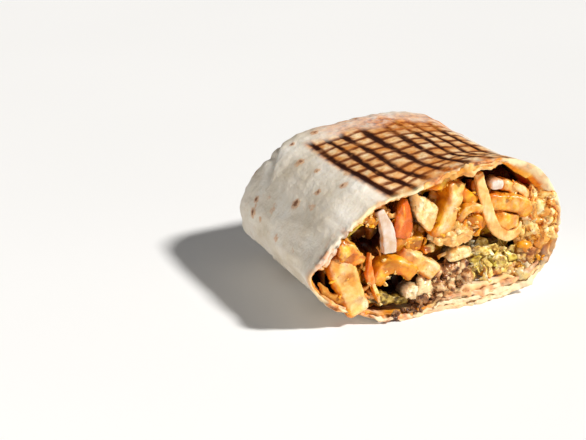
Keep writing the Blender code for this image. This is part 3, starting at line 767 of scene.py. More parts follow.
def press(u, v):
    """How deep the grill pressed the surface: 1 on a line."""
    long_way = np.abs(u - np.round(u)) * LINE_STEP
    cross_way = np.abs(v - np.round(v)) * CROSS_STEP
    return np.maximum(np.exp(-(long_way / 1.0) ** 2), 0.5 * np.exp(-(cross_way / 0.7) ** 2))


def blisters(points, generator):
    """Small bubbles of the baked dough, scattered over the outside."""
    flat = points.reshape(-1, 3)
    total = np.zeros(len(flat))
    for centre in flat[generator.integers(AROUND * (CAP_STEPS - 12), len(flat), BLISTERS)]:
        size = generator.uniform(1.0, 2.6)
        near = np.abs(flat - centre).max(1) < 3 * size
        gap = np.linalg.norm(flat[near] - centre, axis=1)
        total[near] = np.maximum(total[near], generator.uniform(0.5, 1) * np.exp(-(gap / size) ** 2))
    return total.reshape(points.shape[:-1])


def rim_width(points):
    """How much wider the folded edge is at the cut than the wall behind it, where it lies open."""
    x, z = points.T
    left = 2.6 * smoothstep(27, 31, z) * (1 - smoothstep(35, 39, z)) * (1 - smoothstep(-42, -36, x))
    return left + OPEN_RIGHT * smoothstep(26, 38, x) * smoothstep(36, 45, z)


def ribbon(batch, on_top, start, end, inwards, width, thick, toast, seed, stain, back=0.2, deep=0.0):
    """A ragged strip of one layer, along the cut edge of the top or the bottom."""
    line = RIM[RIM[:, 1] > END_CENTRE[1]] if on_top else RIM[RIM[:, 1] < END_CENTRE[1]]
    line = line[line[:, 0].argsort()]
    x = np.linspace(start, end, 3 * int(end - start))
    z = np.interp(x, *line.T) + (-inwards if on_top else inwards)
    path = np.stack([x, rim_depth(np.stack([x, z], 1)) + back, z], 1)
    ends = np.minimum(smoothstep(start, start + 4, x), 1 - smoothstep(end - 4, end, x))
    ragged = 1 + layers(path, (0.45, 4, seed + 6), (0.3, 1.5, seed + 7))
    width = width * (0.25 + 0.75 * ends) * ragged
    rings, _ = bar_rings(path, width, thick, 25 * rough(path, 6, seed + 8), 20, 2.4)
    rings = rings + np.stack([0.4 * rough(rings, 5, seed), 0.8 * rough(rings, 4.5, seed + 3),
                              0.7 * rough(rings, 5.5, seed + 5)], 2)
    rings = swollen(rings, 0.12 * rough(rings, 1.3, seed + 1))
    rings[..., 2] = np.maximum(rings[..., 2], FLAT_SPOT)
    worn = toast * smoothstep(-0.4, 0.3, rough(rings, 4, seed + 2) + 0.4)
    batch.add_rings(rings, cream=0.8, toast=worn, stain=stain, deep=deep)


def flap_relief(x, z):
    """The closing flap: a step with a crease under its edge, and folds that run to its corners."""
    over = z - FLAP_EDGE - FLAP_SLOPE * x - 0.8 * np.sin(x * 0.23) - 0.4 * np.sin(x * 0.9)
    side = np.abs(x - END_CENTRE[0]) - 30 + 0.9 * np.abs(z - END_CENTRE[1])
    step = smoothstep(0, 0.7, over) * FLAP_STEP - 0.9 * np.exp(-((over + 0.5) / 0.8) ** 2)
    return step - 1.1 * np.exp(-(side / 0.9) ** 2) + 0.6 * smoothstep(0, -3, side)


def cap_rings():
    """The folded end, from its middle to its edge."""
    back = outline(LENGTH)
    edge = inset(back, -fold_relief(back, LENGTH))
    middle = edge.mean(0)
    rings = []
    for scale in np.linspace(0.04, 0.97, CAP_STEPS):
        ring = middle + (edge - middle) * scale
        step = flap_relief(*ring.T) * smoothstep(0, 0.2, 1 - scale)
        rings.append(ring_at(ring, LENGTH + CAP_BULGE * 0.4 * (1 - scale ** 2.2) + step))
    return rings


def torn(seed):
    """How ragged one layer of the cut edge is, round the section."""
    return layers(ring_at(RIM, 0.0), (0.45, 6, seed), (0.3, 2.2, seed), (0.15, 0.9, seed))


# The cut edge: its section, how ragged its two sheets are, where layers are tucked and where the sheets part
CUT_SECTION = outline(0)
OUTER_SHEET = torn(2.0)
INNER_SHEET = torn(9.0)
LAYERED = smoothstep(3, 6, thickness(CUT_SECTION, 0))
PARTED = smoothstep(-0.3, 0.2, torn(21.0))
RECESS = SHEET_STEP * (1 - LAYERED) * PARTED


def set_back(ring):
    """How far the open edge at the right stands back behind the rest."""
    return np.where(ring[:, 0] > 0, 0.7 * rim_width(ring), 0)


def outside_rings():
    """The outside, from the folded end to the cut."""
    t = np.linspace(0, 1, OUTSIDE_STEPS)[:-1]
    rings = []
    for y in LENGTH * (1 - t ** 2.0 * 0.45 - t * 0.55):
        ring = outline(y)
        shift = rim_depth(ring) * (1 - smoothstep(0, FLARE_DEPTH, y))
        shift = shift + OUTER_SHEET * (1 - smoothstep(0, 5, y))
        rings.append(ring_at(inset(ring, -fold_relief(ring, y)), y + shift))
    return rings


def edge_rings():
    """The cut edge, from its outer to its inner sheet, with grooves between the tucked layers."""
    wide = thickness(CUT_SECTION, 0) + rim_width(CUT_SECTION)
    wander = 0.06 * torn(33.0)
    grooved = [(middle, smoothstep(-0.4, 0.2, torn(50 * middle))) for middle in GROOVES]
    rings = []
    for part in np.linspace(0, 1, RIM_STEPS):
        grooves = sum(np.exp(-((part - middle - wander) / 0.07) ** 2) * here for middle, here in grooved)
        gap = 0.7 * (1 - LAYERED) * PARTED * math.exp(-((part - 0.52) / 0.1) ** 2)
        ragged = OUTER_SHEET + (INNER_SHEET - OUTER_SHEET) * smoothstep(0.4, 0.6, part)
        y = rim_depth(CUT_SECTION) + ragged + GROOVE_DEPTH * LAYERED * grooves + gap
        y = y + RECESS * smoothstep(0.42, 0.6, part) + 0.55 * abs(2 * part - 1) ** 3
        y = y + (0.8 * LAYERED + set_back(CUT_SECTION)) * part
        rings.append(ring_at(inset(CUT_SECTION, wide * part), y))
    return rings


def wall_rings():
    """The inner wall, from the cut back into the food."""
    rings = []
    for y in WALL_REACH * np.linspace(0, 1, INSIDE_STEPS)[1:] ** 1.7:
        ring = outline(y)
        shift = (rim_depth(ring) + 0.8 * LAYERED) * (1 - smoothstep(0, FLARE_DEPTH, y))
        shift = shift + (INNER_SHEET + RECESS + 0.55) * (1 - smoothstep(0, 6, y))
        shift = shift + set_back(ring) * (1 - smoothstep(0, 9, y))
        wall = inset(ring, thickness(ring, y) + rim_width(ring) * (1 - smoothstep(1, 9, y)))
        rings.append(ring_at(wall, y + shift))
    return rings


def side_folds(rings, z):
    """Lengthwise wrinkles and dents of the sides, deeper low down."""
    stretched = rings * np.array([1, 0.13, 1])
    low_side = 1 - smoothstep(16, 40, z)
    folds = (0.3 + 0.5 * low_side) * (0.5 - 1.6 * np.abs(rough(stretched, 8.5, 3)))
    folds = folds + 0.35 * low_side * (0.3 - np.abs(rough(stretched, 3.2, 4)))
    return folds + 0.3 * rough(rings, 21, 5)


def end_creases(x, y, upright):
    """Diagonal creases of the side flaps, running from the corners of the folded end to the sides."""
    fold = np.abs(x - END_CENTRE[0]) - CREASE_START - CREASE_SPREAD * (LENGTH - y)
    crease = 0.8 * smoothstep(0.4, -0.8, fold) - 0.9 * np.exp(-(fold / 0.9) ** 2)
    return smoothstep(58, 66, y) * smoothstep(0.2, 0.5, upright) * crease


def spots(rings, size, seed, start, end):
    """Uneven patches, from 0 between them to 1 on them."""
    return smoothstep(start, end, rough(rings, size, seed))


def browning(rings, x, y, z, on_outside, on_top, edge, smear, open_left, sauce_run):
    """How toasted the tortilla is: behind the grill patch, at the crown and along the cut edge."""
    crown = bump(-10, 30, x, 9) * smoothstep(46, 52, z)
    ragged = smoothstep(0.0, 0.5, rough(rings, 6, 30) + 0.1 + 0.5 * crown)
    toast = np.maximum.reduce([
        on_top * np.clip(0.6 * smear + 0.5 * bump(-24, 20, x, 14) * bump(58, 80, y, 7), 0, 1),
        edge * ragged * (0.45 + 0.55 * crown),
        0.9 * crown * on_outside * (1 - smoothstep(3, 8, y)) * spots(rings, 5, 35, -0.6, 0.3),
        edge * sauce_run * spots(rings, 5, 33, -0.6, 0.2),
        edge * open_left * spots(rings, 2.2, 44, 0.1, 0.4)])
    return toast * (1 - 0.35 * open_left)


def soaking(rings, x, y, z, inside, open_left):
    """How much sauce the inner wall took up."""
    hood = smoothstep(-14, 4, x) * smoothstep(34, 44, z)
    floor_right = smoothstep(-8, 2, x) * (1 - smoothstep(14, 20, z))
    open_band = open_left * (1 - smoothstep(0.2, 2.5, y))
    soaked = np.clip(0.7 + 0.6 * hood - 0.5 * floor_right + 0.3 * rough(rings, 9, 40), 0, 1)
    return inside * soaked * (1 - open_band)


def darkness(rings, x, y, past_edge, edge, open_left, sauce_run):
    """How dark the tortilla is painted: painted shade deep inside and in spots along the open left edge, and
    where sauce dried on the cut edge.
    """
    in_middle = smoothstep(-36, -24, x) * (1 - smoothstep(22, 34, x))
    # Painted shade deep inside the tortilla
    inner = 0.92 * past_edge * smoothstep(13 - 8 * in_middle, 30 - 14 * in_middle, y)
    dirty = 0.45 * edge * sauce_run * spots(rings, 3.4, 36, -0.3, 0.4)
    # Painted shade in spots along the open left edge
    left_edge_shade = 0.42 * edge * open_left * spots(rings, 2.6, 47, -0.1, 0.5)
    return np.maximum.reduce([inner, dirty, left_edge_shade])


def tortilla():
    """The tortilla as one grid of rings: its folded end, outside, cut edge and inner wall."""
    generator = np.random.default_rng(SEED)
    outer, cut, wall = cap_rings() + outside_rings(), edge_rings(), wall_rings()
    outside, rim_end = len(outer), len(outer) + len(cut)
    rings = np.array(outer + cut + wall)
    normals = ring_normals(rings)
    x, y, z = np.moveaxis(rings, 2, 0)
    index = np.arange(len(rings))[:, None] * np.ones((1, AROUND))
    on_outside = 1 - smoothstep(outside - 1, outside + 1, index)
    edge = bump(outside - 5, rim_end + 3, index, 5)
    # The grill patch lies on the top, from the cut to where the end starts to fold
    up = smoothstep(0.45, 0.75, normals[..., 2])
    grill_u, grill_v = grill_place(x, y)
    patch = smoothstep(-0.45, -0.1, grill_u) * (1 - smoothstep(30, 38, x))
    patch = patch * bump(-5, 66, y + 2 * np.sin(x * 0.3), 7)
    grill = on_outside * up * patch
    bubbles = blisters(rings, generator) * on_outside
    relief = (1 - up * patch) * (side_folds(rings, z) + 0.3 * bubbles) + 0.1 * rough(rings, 2.2, 8)
    relief = relief + grill * (0.2 - PRESS_DEPTH * press(grill_u, grill_v))
    relief = on_outside * (relief + end_creases(x, y, np.abs(normals[..., 2])))
    relief = relief + (1 - on_outside) * layers(rings, (0.25, 5, 12), (0.12, 1.8, 15))
    rings = rings + normals * relief[..., None]
    rings[..., 2] = np.maximum(rings[..., 2], FLAT_SPOT)
    smear = smoothstep(0, 12, x) * bump(44, 76, y, 9)
    open_left = smoothstep(25, 31, z) * (1 - smoothstep(-42, -34, x))
    sauce_run = (1 - smoothstep(-12, -2, x)) * (1 - smoothstep(12, 20, z))
    thin = smoothstep(30, 40, x) * smoothstep(26, 34, z) * (1 - smoothstep(12, 20, y))
    inside = smoothstep(outside + 0.4 * RIM_STEPS, outside + 0.7 * RIM_STEPS, index)
    past_edge = smoothstep(outside + 1, outside + 6, index)
    batch = Batch("grill_u", "grill_v", "grill", "lines", "blister", "cream", "toast", "stain", "deep",
                  "thin")
    batch.add_rings(
        rings, grill_u=grill_u, grill_v=grill_v, grill=grill, blister=bubbles,
        lines=(1 - 0.1 * smear) * smoothstep(0.2, 0.6, grill),
        cream=edge * smoothstep(outside - 3, outside, index) * (1 - 0.85 * open_left),
        toast=browning(rings, x, y, z, on_outside, on_outside * up, edge, smear, open_left, sauce_run),
        stain=soaking(rings, x, y, z, inside, open_left),
        deep=darkness(rings, x, y, past_edge, edge, open_left, sauce_run),
        thin=thin * smoothstep(rim_end - 3, rim_end + 2, index))
    for k, values in enumerate(RIBBONS):
        ribbon(batch, *values, 3 * k, TOP_STAIN if values[0] else 0.0)
    # deep=0.45 darkens the whole soaked fold
    ribbon(batch, *SOAKED_FOLD, 60, 0.9, back=2.6, deep=0.45)
    batch.piece("tortilla_skin", tortilla_look(), "tortilla")


# The fries

# How far the line of sight moves to the right and down for each millimetre of depth
SIGHT_RIGHT = 0.48
SIGHT_DOWN = 0.44


def core_low(x, y):
    """The underside of the fries: the floor, or the meat or salad beneath them."""
    top = np.full(x.shape, -9.0)
    for line, edges in ((MEAT_TOP, MEAT_EDGES), (SALAD_TOP, SALAD_EDGES)):
        for dx in (-0.9, -0.45, 0, 0.45, 0.9):
            over = (x + dx >= edges[0]) & (x + dx <= edges[1])
            top = np.where(over, np.maximum(top, line_at(line, x + dx)), top)
    top = np.where(x > SALAD_EDGES[1] - 0.3, np.maximum(top + GAP, CORE_RIGHT_LOW), top + GAP)
    x_deep, z_deep = deepen(x, top, y)
    floor = room_at(x_deep, y, 0)
    return np.where(top > 0, np.maximum(z_deep, floor), floor)


def core_high(x, y):
    hood = HOOD_DROP * bump(*HOOD_RANGE, x, 10) * (1 - smoothstep(HOOD_DEPTH * 0.35, HOOD_DEPTH, y))
    return room_at(deepen(x, 0, y)[0], y, 1) - hood


def core_front(x, z):
    """The front of the fries' core, with hollows that slant back along the line of sight."""
    deep = 0
    for cx, cz, wide, tall, extra in HOLLOWS:
        middle = CORE_FRONT + extra / 2
        deep = deep + extra * np.exp(-((x - cx - SIGHT_RIGHT * middle) / wide) ** 2
                                     - ((z - cz + SIGHT_DOWN * middle) / tall) ** 2)
    return CORE_FRONT + deep


# Fries seen along their length: path as (x, y, z), width, height, roll, share of sauce
LONG_FRIES = [
    ([(-41.2, 7.4, 27.6), (-37.8, 5.4, 17.6), (-34.0, 4.6, 7.8)], 10.4, 8.4, 4, 0.25),
    ([(-25.6, 6.4, 17.4), (-23.2, 5.2, 21.6), (-18.4, 4.6, 23.0), (-13.4, 4.2, 20.8), (-11.2, 4.4, 18.4)],
     6.8, 7.6, 8, 0.8),
    ([(-13.6, 6.0, 26.2), (-7.8, 4.8, 22.2), (-1.8, 4.2, 17.6)], 6.6, 7.6, 14, 0.4),
    ([(7.9, 6.2, 49.6), (6.2, 5.4, 43.6), (3.4, 5.0, 37.0), (1.0, 5.6, 32.6)], 8.6, 8.0, -12, 0.4),
    ([(24.6, 6.0, 41.2), (31.0, 5.0, 40.4), (37.2, 4.6, 38.6), (41.4, 5.0, 35.8)], 7.2, 7.8, 8, 0.65),
    ([(27.2, 5.8, 34.6), (31.0, 4.6, 32.6), (36.0, 4.8, 31.8)], 6.8, 6.4, -6, 0.6),
    ([(-33.0, 9.0, 41.6), (-29.2, 7.6, 42.4), (-25.6, 7.0, 40.2)], 5.0, 5.4, 10, 0.9),
    ([(10.2, 5.0, 36.8), (13.2, 4.0, 40.2), (17.2, 4.2, 40.4), (20.0, 5.4, 38.2)], 3.6, 5.0, 0, 0.5),
    ([(10.4, 8.0, 48.6), (13.8, 7.2, 45.4), (17.6, 7.2, 42.2)], 5.4, 5.6, 12, 1.0),
    ([(29.8, 7.0, 47.2), (33.2, 6.0, 46.4), (36.6, 6.2, 43.8)], 4.2, 5.0, 14, 0.5),
    ([(-29.0, 3.4, 19.4), (-26.8, 3.0, 13.6), (-24.6, 3.4, 8.6)], 1.7, 2.4, 0, 0.3),
    ([(-4.6, 7.4, 52.0), (1.4, 6.2, 51.6), (6.4, 6.6, 52.8)], 4.8, 5.0, -6, 1.0),
    ([(-19.8, 8.4, 31.6), (-14.0, 6.8, 30.8), (-7.0, 6.2, 30.4)], 7.0, 7.6, 12, 0.9),
    ([(-37.5, 18.0, 37.5), (-32.0, 18.0, 35.8), (-27.0, 18.0, 33.5)], 7.0, 8.0, 20, 1.0),
    ([(14.0, 8.0, 33.6), (18.0, 6.6, 35.0), (22.2, 6.0, 32.4)], 4.8, 5.2, 10, 1.0),
    ([(38.6, 7.0, 44.4), (41.6, 5.6, 40.6), (43.4, 5.4, 35.6)], 4.6, 5.2, 0, 0.5),
]
# Fries cut across: middle (x, z), front depth, width, height, roll, lean of the back end in x and z
CUT_FRIES = [
    ((-8.4, 23.6), 5.4, 5.0, 5.4, 35, (0, 2)),
    ((-22.6, 33.4), 14.0, 5.6, 7.0, -20, (-2, 1)),
    ((-39.5, 22.0), 10.0, 6.0, 6.0, 15, (2, 2)),
    ((20.4, 46.6), 8.0, 5.2, 4.6, 25, (1, -2)),
    ((-6.2, 40.6), 9.0, 6.4, 5.2, 20, (1, -1)),
    ((39.6, 26.8), 4.4, 4.8, 4.4, 15, (-1, 1)),
]
CUT_FRY_REACH = 17.0
# Broken bits of fry and crust: outline in the cut plane, front depth, share of sauce
CHUNKS = [
    ([(-40.6, 36.6), (-37.2, 35.0), (-33.4, 31.2), (-30.8, 27.8), (-33.6, 25.6), (-39.2, 27.0), (-43.0, 30.0),
      (-43.2, 34.2)], 1.8, 0.7),
    ([(-4.6, 24.6), (-0.4, 24.4), (0.2, 27.2), (-4.2, 27.6)], 3.2, 0.0),
    ([(23.2, 9.4), (29.8, 9.8), (30.2, 12.6), (25.6, 13.4), (22.8, 12.2)], 2.6, 0.3),
    ([(20.6, 30.8), (23.4, 31.4), (23.2, 36.4), (20.0, 36.6), (19.2, 33.2)], 4.0, 1.0),
]
# Crumbly heaps on the cut: middle (x, z), half width, half height, front depth, pieces, how browned
HEAPS = [
    ((6.4, 32.6), 7.0, 4.8, 4.6, 26, 0.2),
    ((-11.4, 33.0), 4.4, 4.0, 4.8, 14, 0.1),
    ((46.6, 31.0), 4.6, 11.0, 3.2, 28, 0.1),
    ((40.6, 24.6), 4.4, 3.4, 3.8, 16, 0.3),
    ((15.6, 30.6), 3.4, 2.4, 5.4, 9, 0.2),
    ((43.4, 16.8), 4.6, 3.2, 3.4, 15, 1.0),
    ((44.6, 13.6), 5.4, 3.2, 3.0, 26, 0.9),
    ((38.4, 10.4), 5.0, 2.4, 3.2, 18, 0.3),
    ((40.6, 20.6), 2.4, 3.6, 3.0, 10, 0.7),
    ((-29.0, 10.4), 3.6, 1.8, 4.6, 8, 0.2),
    ((1.6, 41.4), 3.0, 5.0, 7.2, 8, 0.3),
]
# Which way the side of a fry with the painted highlight looks, the side with painted shade (where its amber
# tint and crisp edges go), and the stain at its first end
LIT_SIDE = np.array([0.5, -0.62, 0.45])
SHADED_SIDE = np.array([-0.55, 0.05, -0.83])
STAIN_SIDE = np.array([0.8, -0.2, -0.5])
SLIVERS = 46
FRY_STEPS = 26
FRY_NOSE = 0.26
FRY_AROUND = 32
CRUMB_PALE = 0.75
SMALL_CRUMBS = 240


def fry(batch, path, width, height, roll, seed, sauce):
    """A fry with crisp edges, a side painted pale as a highlight, and painted shade mixed with sauce on its
    other sides.
    """
    path = open_curve(path, FRY_STEPS)
    spread = np.linspace(0, 3, FRY_STEPS)
    width = width * (1 + 0.07 * np.sin(spread * 2 + seed))
    height = height * (1 + 0.07 * np.sin(spread * 3 + 2 * seed))
    rings, ends = bar_rings(path, width, height, roll + 6 * np.sin(spread + seed), FRY_AROUND, 5.0, FRY_NOSE)
    normals = ring_normals(rings)
    waves = 0.42 * rough(rings, 6.0, seed)
    grain = layers(rings, (0.18, 2.4, seed + 2), (0.12, 0.9, seed))
    # Painted highlight: the side that faces the light is painted paler; the cut ends are pale too
    lit = normals @ LIT_SIDE + 0.16 * rough(rings, 6, seed + 4)
    rings = rings + normals * (waves + grain - 0.1)[..., None]
    pale = np.maximum(smoothstep(0.1, 0.5, lit), 0.7 * ends) * (1.1 - 1.1 * sauce)
    # Painted shade: a fry turns dark the deeper it lies behind the cut, plus random darker patches on saucier
    # fries
    deep = np.maximum(0.95 * smoothstep(7, 15, rings[..., 1]),
                      0.32 * sauce * smoothstep(-0.1, 0.7, rough(rings, 4, seed + 17)))
    patches = smoothstep(0.0, 0.5, rough(rings, 6.5, seed + 11))
    # Painted shade: the amber tint on the sides that face away from the light, with sauce stain at the first
    # end and in patches
    amber = smoothstep(0.0, 0.75, normals @ SHADED_SIDE + 0.2 * rough(rings, 4, seed + 13))
    along = np.linspace(0, 1, len(rings))[:, None]
    stained_end = (1 - smoothstep(0.15, 0.6, along)) * smoothstep(0.45, -0.3, normals @ STAIN_SIDE)
    amber = np.clip(0.95 * amber + 0.75 * stained_end + (0.1 + 0.6 * sauce) * patches, 0, 1)
    # Browned corners are drawn only on the shaded side (browning and painted shade together); on the lit side
    # the corners get a painted highlight
    angle = np.linspace(0, 2 * math.pi, FRY_AROUND, endpoint=False) + math.pi / FRY_AROUND
    corners = np.abs(np.sin(2 * angle))[None, :] ** 4 * smoothstep(-0.5, 0.5, rough(rings, 5, seed + 7))
    edge_highlight = 0.5 * corners * smoothstep(0.2, -0.4, normals @ SHADED_SIDE)
    crisp = corners * smoothstep(-0.3, 0.3, normals @ SHADED_SIDE)
    batch.add_rings(rings, pale=pale + edge_highlight, sauce=sauce, crest=0.6 * waves + 1.3 * grain, deep=deep,
                    crisp=crisp, amber=amber)


def hides_hollow(x, y, z):
    """Whether a point hides one of the hollows from the front."""
    return any(((x - SIGHT_RIGHT * y - cx) / wide) ** 2 + ((z + SIGHT_DOWN * y - cz) / tall) ** 2 < 1.5
               for cx, cz, wide, tall, _ in HOLLOWS)


def sliver(batch, generator, middle):
    """A thin shred among the fries."""
    length, angle = generator.uniform(3, 8), generator.uniform(0, math.pi)
    along = 0.5 * length * np.array([math.cos(angle), 0, math.sin(angle)])
    bow = np.array([0, generator.uniform(0.2, 1.4), 0])
    path = open_curve([middle - along + bow, middle, middle + along + bow], 16)
    width, height = generator.uniform(1.0, 2.4), generator.uniform(0.7, 1.3)
    rings, _ = bar_rings(path, width, height, 40 * np.sin(angle), 16, 2.6)
    rings = rings + 0.5 * np.stack([rough(rings, 3.0, 10 * angle + k) for k in (0, 5, 9)], 2)
    batch.add_rings(rings, pale=generator.uniform(-0.2, 1.2), amber=generator.uniform(0, 0.8), sauce=0.4)


def chunk(batch, seed, corners, front, sauce):
    """A broken bit of fry or crust."""
    rings, _ = chunk_rings(corners, front, front + 7, 1.2, 56)
    normals = ring_normals(rings)
    swell = layers(rings, (0.6, 3.4, seed + 70), (0.3, 1.4, seed + 80))
    # Painted highlight on the side towards the light, painted shade (the amber tint) on the side away from it
    lit = smoothstep(-0.2, 0.8, normals @ LIT_SIDE)
    amber = smoothstep(-0.1, 0.7, normals @ SHADED_SIDE + 0.5 * rough(rings, 4, seed + 90))
    batch.add_rings(rings + normals * swell[..., None], pale=lit * (1.1 - 0.9 * sauce), sauce=sauce,
                    crest=1.6 * swell, amber=amber)


def heap(batch, generator, middle, half_width, half_height, front, pieces, browned):
    """Crumbs of many sizes that cover an oval of the cut, larger ones first."""
    for k in range(pieces):
        angle, reach = generator.uniform(0, 2 * math.pi), math.sqrt(generator.uniform(0, 1))
        x = middle[0] + half_width * reach * math.cos(angle)
        z = middle[1] + half_height * reach * math.sin(angle)
        radius = generator.uniform(0.75, 1.25) * (3.0 - 2.0 * k / pieces)
        y = front + generator.uniform(-0.8, 1.2) - 1.0 * k / pieces + radius * 0.5
        squash = generator.uniform(0.6, 1.1, 3)
        dark = min(0.9, max(0.0, browned * generator.uniform(-0.5, 1.2), generator.uniform(-0.6, 0.3)))
        lump(batch, (x, y, z), radius, generator, 3, 0.46, squash,
             pale=CRUMB_PALE + generator.uniform(-0.6, 0.4), sauce=generator.uniform(0, 0.7),
             amber=generator.uniform(-0.6, 0.8), deep=dark)


def small_crumb(batch, generator):
    """A crumb on the front of one of the long fries."""
    path, width, height, _, _ = pick(LONG_FRIES, generator)
    middle = pick(open_curve(path, 12), generator)
    angle = generator.uniform(0, 2 * math.pi)
    reach = generator.uniform(0.2, 0.65) * width
    forward = 0.45 * height * generator.uniform(0.3, 1)
    shift = np.array([reach * math.cos(angle), -forward, reach * math.sin(angle)])
    lump(batch, middle + shift, generator.uniform(0.35, 1.15), generator, 2, 0.5,
         generator.uniform(0.4, 1.3, 3), pale=generator.uniform(0, 1), sauce=0.3)


def fries():
    """The heap of fries: its core, slivers, the fries and broken bits that show, and crumbs."""
    generator = np.random.default_rng(SEED + 4)
    batch = Batch("pale", "sauce", "deep", "crest", "crisp", "amber")
    grid = fine_filling(batch, CORE_EDGES, 140, 78, core_low, core_high, core_front,
                        ((1.1, 4.2, 1), (0.55, 1.9, 2), (0.25, 0.9, 3)), pale=0.1, sauce=1.0)
    flat = grid[6:-6, 8:-8].reshape(-1, 3)
    for _ in range(SLIVERS):
        middle = pick(flat, generator)
        middle = np.array([middle[0], generator.uniform(3.2, 7.0), middle[2]])
        if not hides_hollow(*middle):
            sliver(batch, generator, middle)
    for k, (path, width, height, roll, sauce) in enumerate(LONG_FRIES):
        fry(batch, path, width, height, roll, k, sauce)
    for k, ((x, z), front, width, height, roll, (dx, dz)) in enumerate(CUT_FRIES):
        half_way = (x + dx / 2, (front + CUT_FRY_REACH) / 2, z + dz / 2)
        path = [(x, front, z), half_way, (x + dx, CUT_FRY_REACH, z + dz)]
        fry(batch, path, width, height, roll, k + 20, 0.6)
    for k, values in enumerate(CHUNKS):
        chunk(batch, k, *values)
    for values in HEAPS:
        heap(batch, generator, *values)
    for _ in range(SMALL_CRUMBS):
        small_crumb(batch, generator)
    batch.piece("fries_in_sauce", fried_look(), "fries")


# Meat, salad and egg

# deep: painted shade, and random darker tone of some crumbs; reach: nearness to an edge, for the rim tint;
# crest: relief height, whose valleys are painted darker
FOOD_VALUES = ("deep", "reach", "crest")
MEAT_BITS = 62
DRIPS = 22
DRIP_RANGE = (-21.0, -7.0)


def meat_front(x, z):
    return 4.4 + 0.8 * np.sin(x * 1.1 + z * 0.7) * np.cos(z * 0.9)


def meat():
    """Ground meat: crumbs on a crumbly filling, and the drip below them on the rim."""
    generator = np.random.default_rng(SEED)
    batch = Batch(*FOOD_VALUES)
    grid = fine_filling(batch, MEAT_EDGES, 64, 44, room_floor, below(MEAT_TOP), meat_front,
                        ((0.9, 2.6, 1), (0.4, 1.1, 2)))
    flat = grid[3:-3, 3:-3].reshape(-1, 3)
    for k in range(MEAT_BITS):
        x, y, z = pick(flat, generator)
        radius = generator.uniform(0.8, 1.2) * (3.2 - 2.2 * k / MEAT_BITS)
        lump(batch, (x, y - generator.uniform(0.2, 2.6), z), radius, generator, 3, 0.55,
             generator.uniform(0.5, 1.1, 3), reach=generator.uniform(0, 1))
    for k in range(DRIPS):
        x = generator.uniform(*DRIP_RANGE)
        radius = generator.uniform(0.4, 1.1)
        centre = (x, generator.uniform(-0.6, 1.2), 1.6 + generator.uniform(0, 3.0))
        lump(batch, centre, radius, generator, 3, 0.5, (1.4, 0.8, 0.7), reach=generator.uniform(0, 0.5),
             deep=generator.uniform(0.1, 0.9))
    batch.piece("meat_crumbs", LOOKS["ground_meat"], "ground_meat")


# Shreds of lettuce: the path of each, as (x, y, z), and its width
SHREDS = [
    ([(17.5, 3.6, 23.3), (21, 2.4, 21.8), (26, 3.2, 22.4), (29, 3.6, 20.6)], 2.8),
    ([(17.2, 2.8, 19), (19.6, 3.4, 15.5), (21, 2.6, 12.3)], 3.4),
    ([(22.2, 3.2, 18.8), (24.6, 2.2, 15.5), (26, 3.4, 12)], 3.0),
    ([(26.5, 2.4, 20), (29, 3.4, 17), (30.4, 2.6, 13.6)], 4.2),
    ([(31.5, 3.4, 20.6), (33.6, 2.6, 17.4), (36, 3.4, 15.4)], 3.0),
    ([(29.5, 3.0, 12.4), (33, 2.4, 13), (36, 3.2, 12.3)], 2.6),
    ([(32.8, 2.2, 20.6), (35.8, 3.0, 19.4)], 2.4),
]
SHRED_THICKNESS = 0.8
EXTRA_SHREDS = 20


def shred(batch, path, width, seed, thick, tone):
    """A thin strip with a wandering width and direction."""
    path = open_curve(path, 30)
    roll = 35 * np.sin(np.linspace(0, 4, len(path)) + seed)
    width = width * (1 + 0.35 * rough(path, 2.0, seed + 12))
    rings, _ = bar_rings(path, width, thick, roll, 24, 2.6)
    rings = rings + 0.8 * np.stack([rough(rings, 4.4, seed + k) for k in (0, 5, 9)], 2)
    swell = 0.16 * rough(rings, 1.8, seed + 30)
    batch.add_rings(swollen(rings, swell), reach=tone, crest=2 * swell)


def salad_front(x, z):
    return 7.6 + 0.9 * np.sin(x * 0.9 - z * 0.5) * np.sin(z * 0.8 + 1)


def salad():
    """Shreds of lettuce over a salad filling."""
    generator = np.random.default_rng(SEED + 1)
    batch = Batch(*FOOD_VALUES)
    grid = fine_filling(batch, SALAD_EDGES, 56, 44, room_floor, below(SALAD_TOP), salad_front,
                        ((1.3, 5.0, 5), (0.3, 1.8, 6)))
    for k, (path, width) in enumerate(SHREDS):
        shred(batch, path, width, k, SHRED_THICKNESS, generator.uniform(0, 1))
    flat = grid[4:-4, 4:-4].reshape(-1, 3)
    for k in range(EXTRA_SHREDS):
        x, y, z = pick(flat, generator)
        angle, length = generator.uniform(0, math.pi), generator.uniform(4, 9)
        dx, dz = 0.5 * length * math.cos(angle), 0.5 * length * math.sin(angle)
        front = y - generator.uniform(1.5, 5.0)
        ends = front + generator.uniform(0.4, 1.6)
        path = [(x - dx, ends, z - dz), (x, front, z), (x + dx, ends, z + dz)]
        shred(batch, path, generator.uniform(2.4, 5.0), k + 40, SHRED_THICKNESS, generator.uniform(0, 1))
    batch.piece("lettuce_shreds", LOOKS["lettuce"], "lettuce")


EGG_BITS = 44
# Pale strips that lie across the egg: the path of each, as (x, y, z), and its width
EGG_STRIPS = [([(43.6, 3.4, 38.6), (47.6, 2.2, 37.6), (52.0, 2.6, 36.0)], 3.0),
              ([(43.0, 3.2, 33.4), (47.0, 2.0, 31.2), (52.4, 2.2, 27.8)], 3.6),
              ([(44.0, 3.0, 28.0), (47.4, 2.0, 26.6), (51.0, 2.4, 23.8)], 2.8)]
RIM_CRUMBS = 20
RIM_CRUMB_MIDDLE = np.array([51.0, 31.5])
RIM_CRUMB_SPREAD = np.array([2.4, 10.5])


def egg_floor(x, y):
    x_deep, z_deep = deepen(x, EGG_LOW, y)
    return np.maximum(z_deep, room_at(x_deep, y, 0))


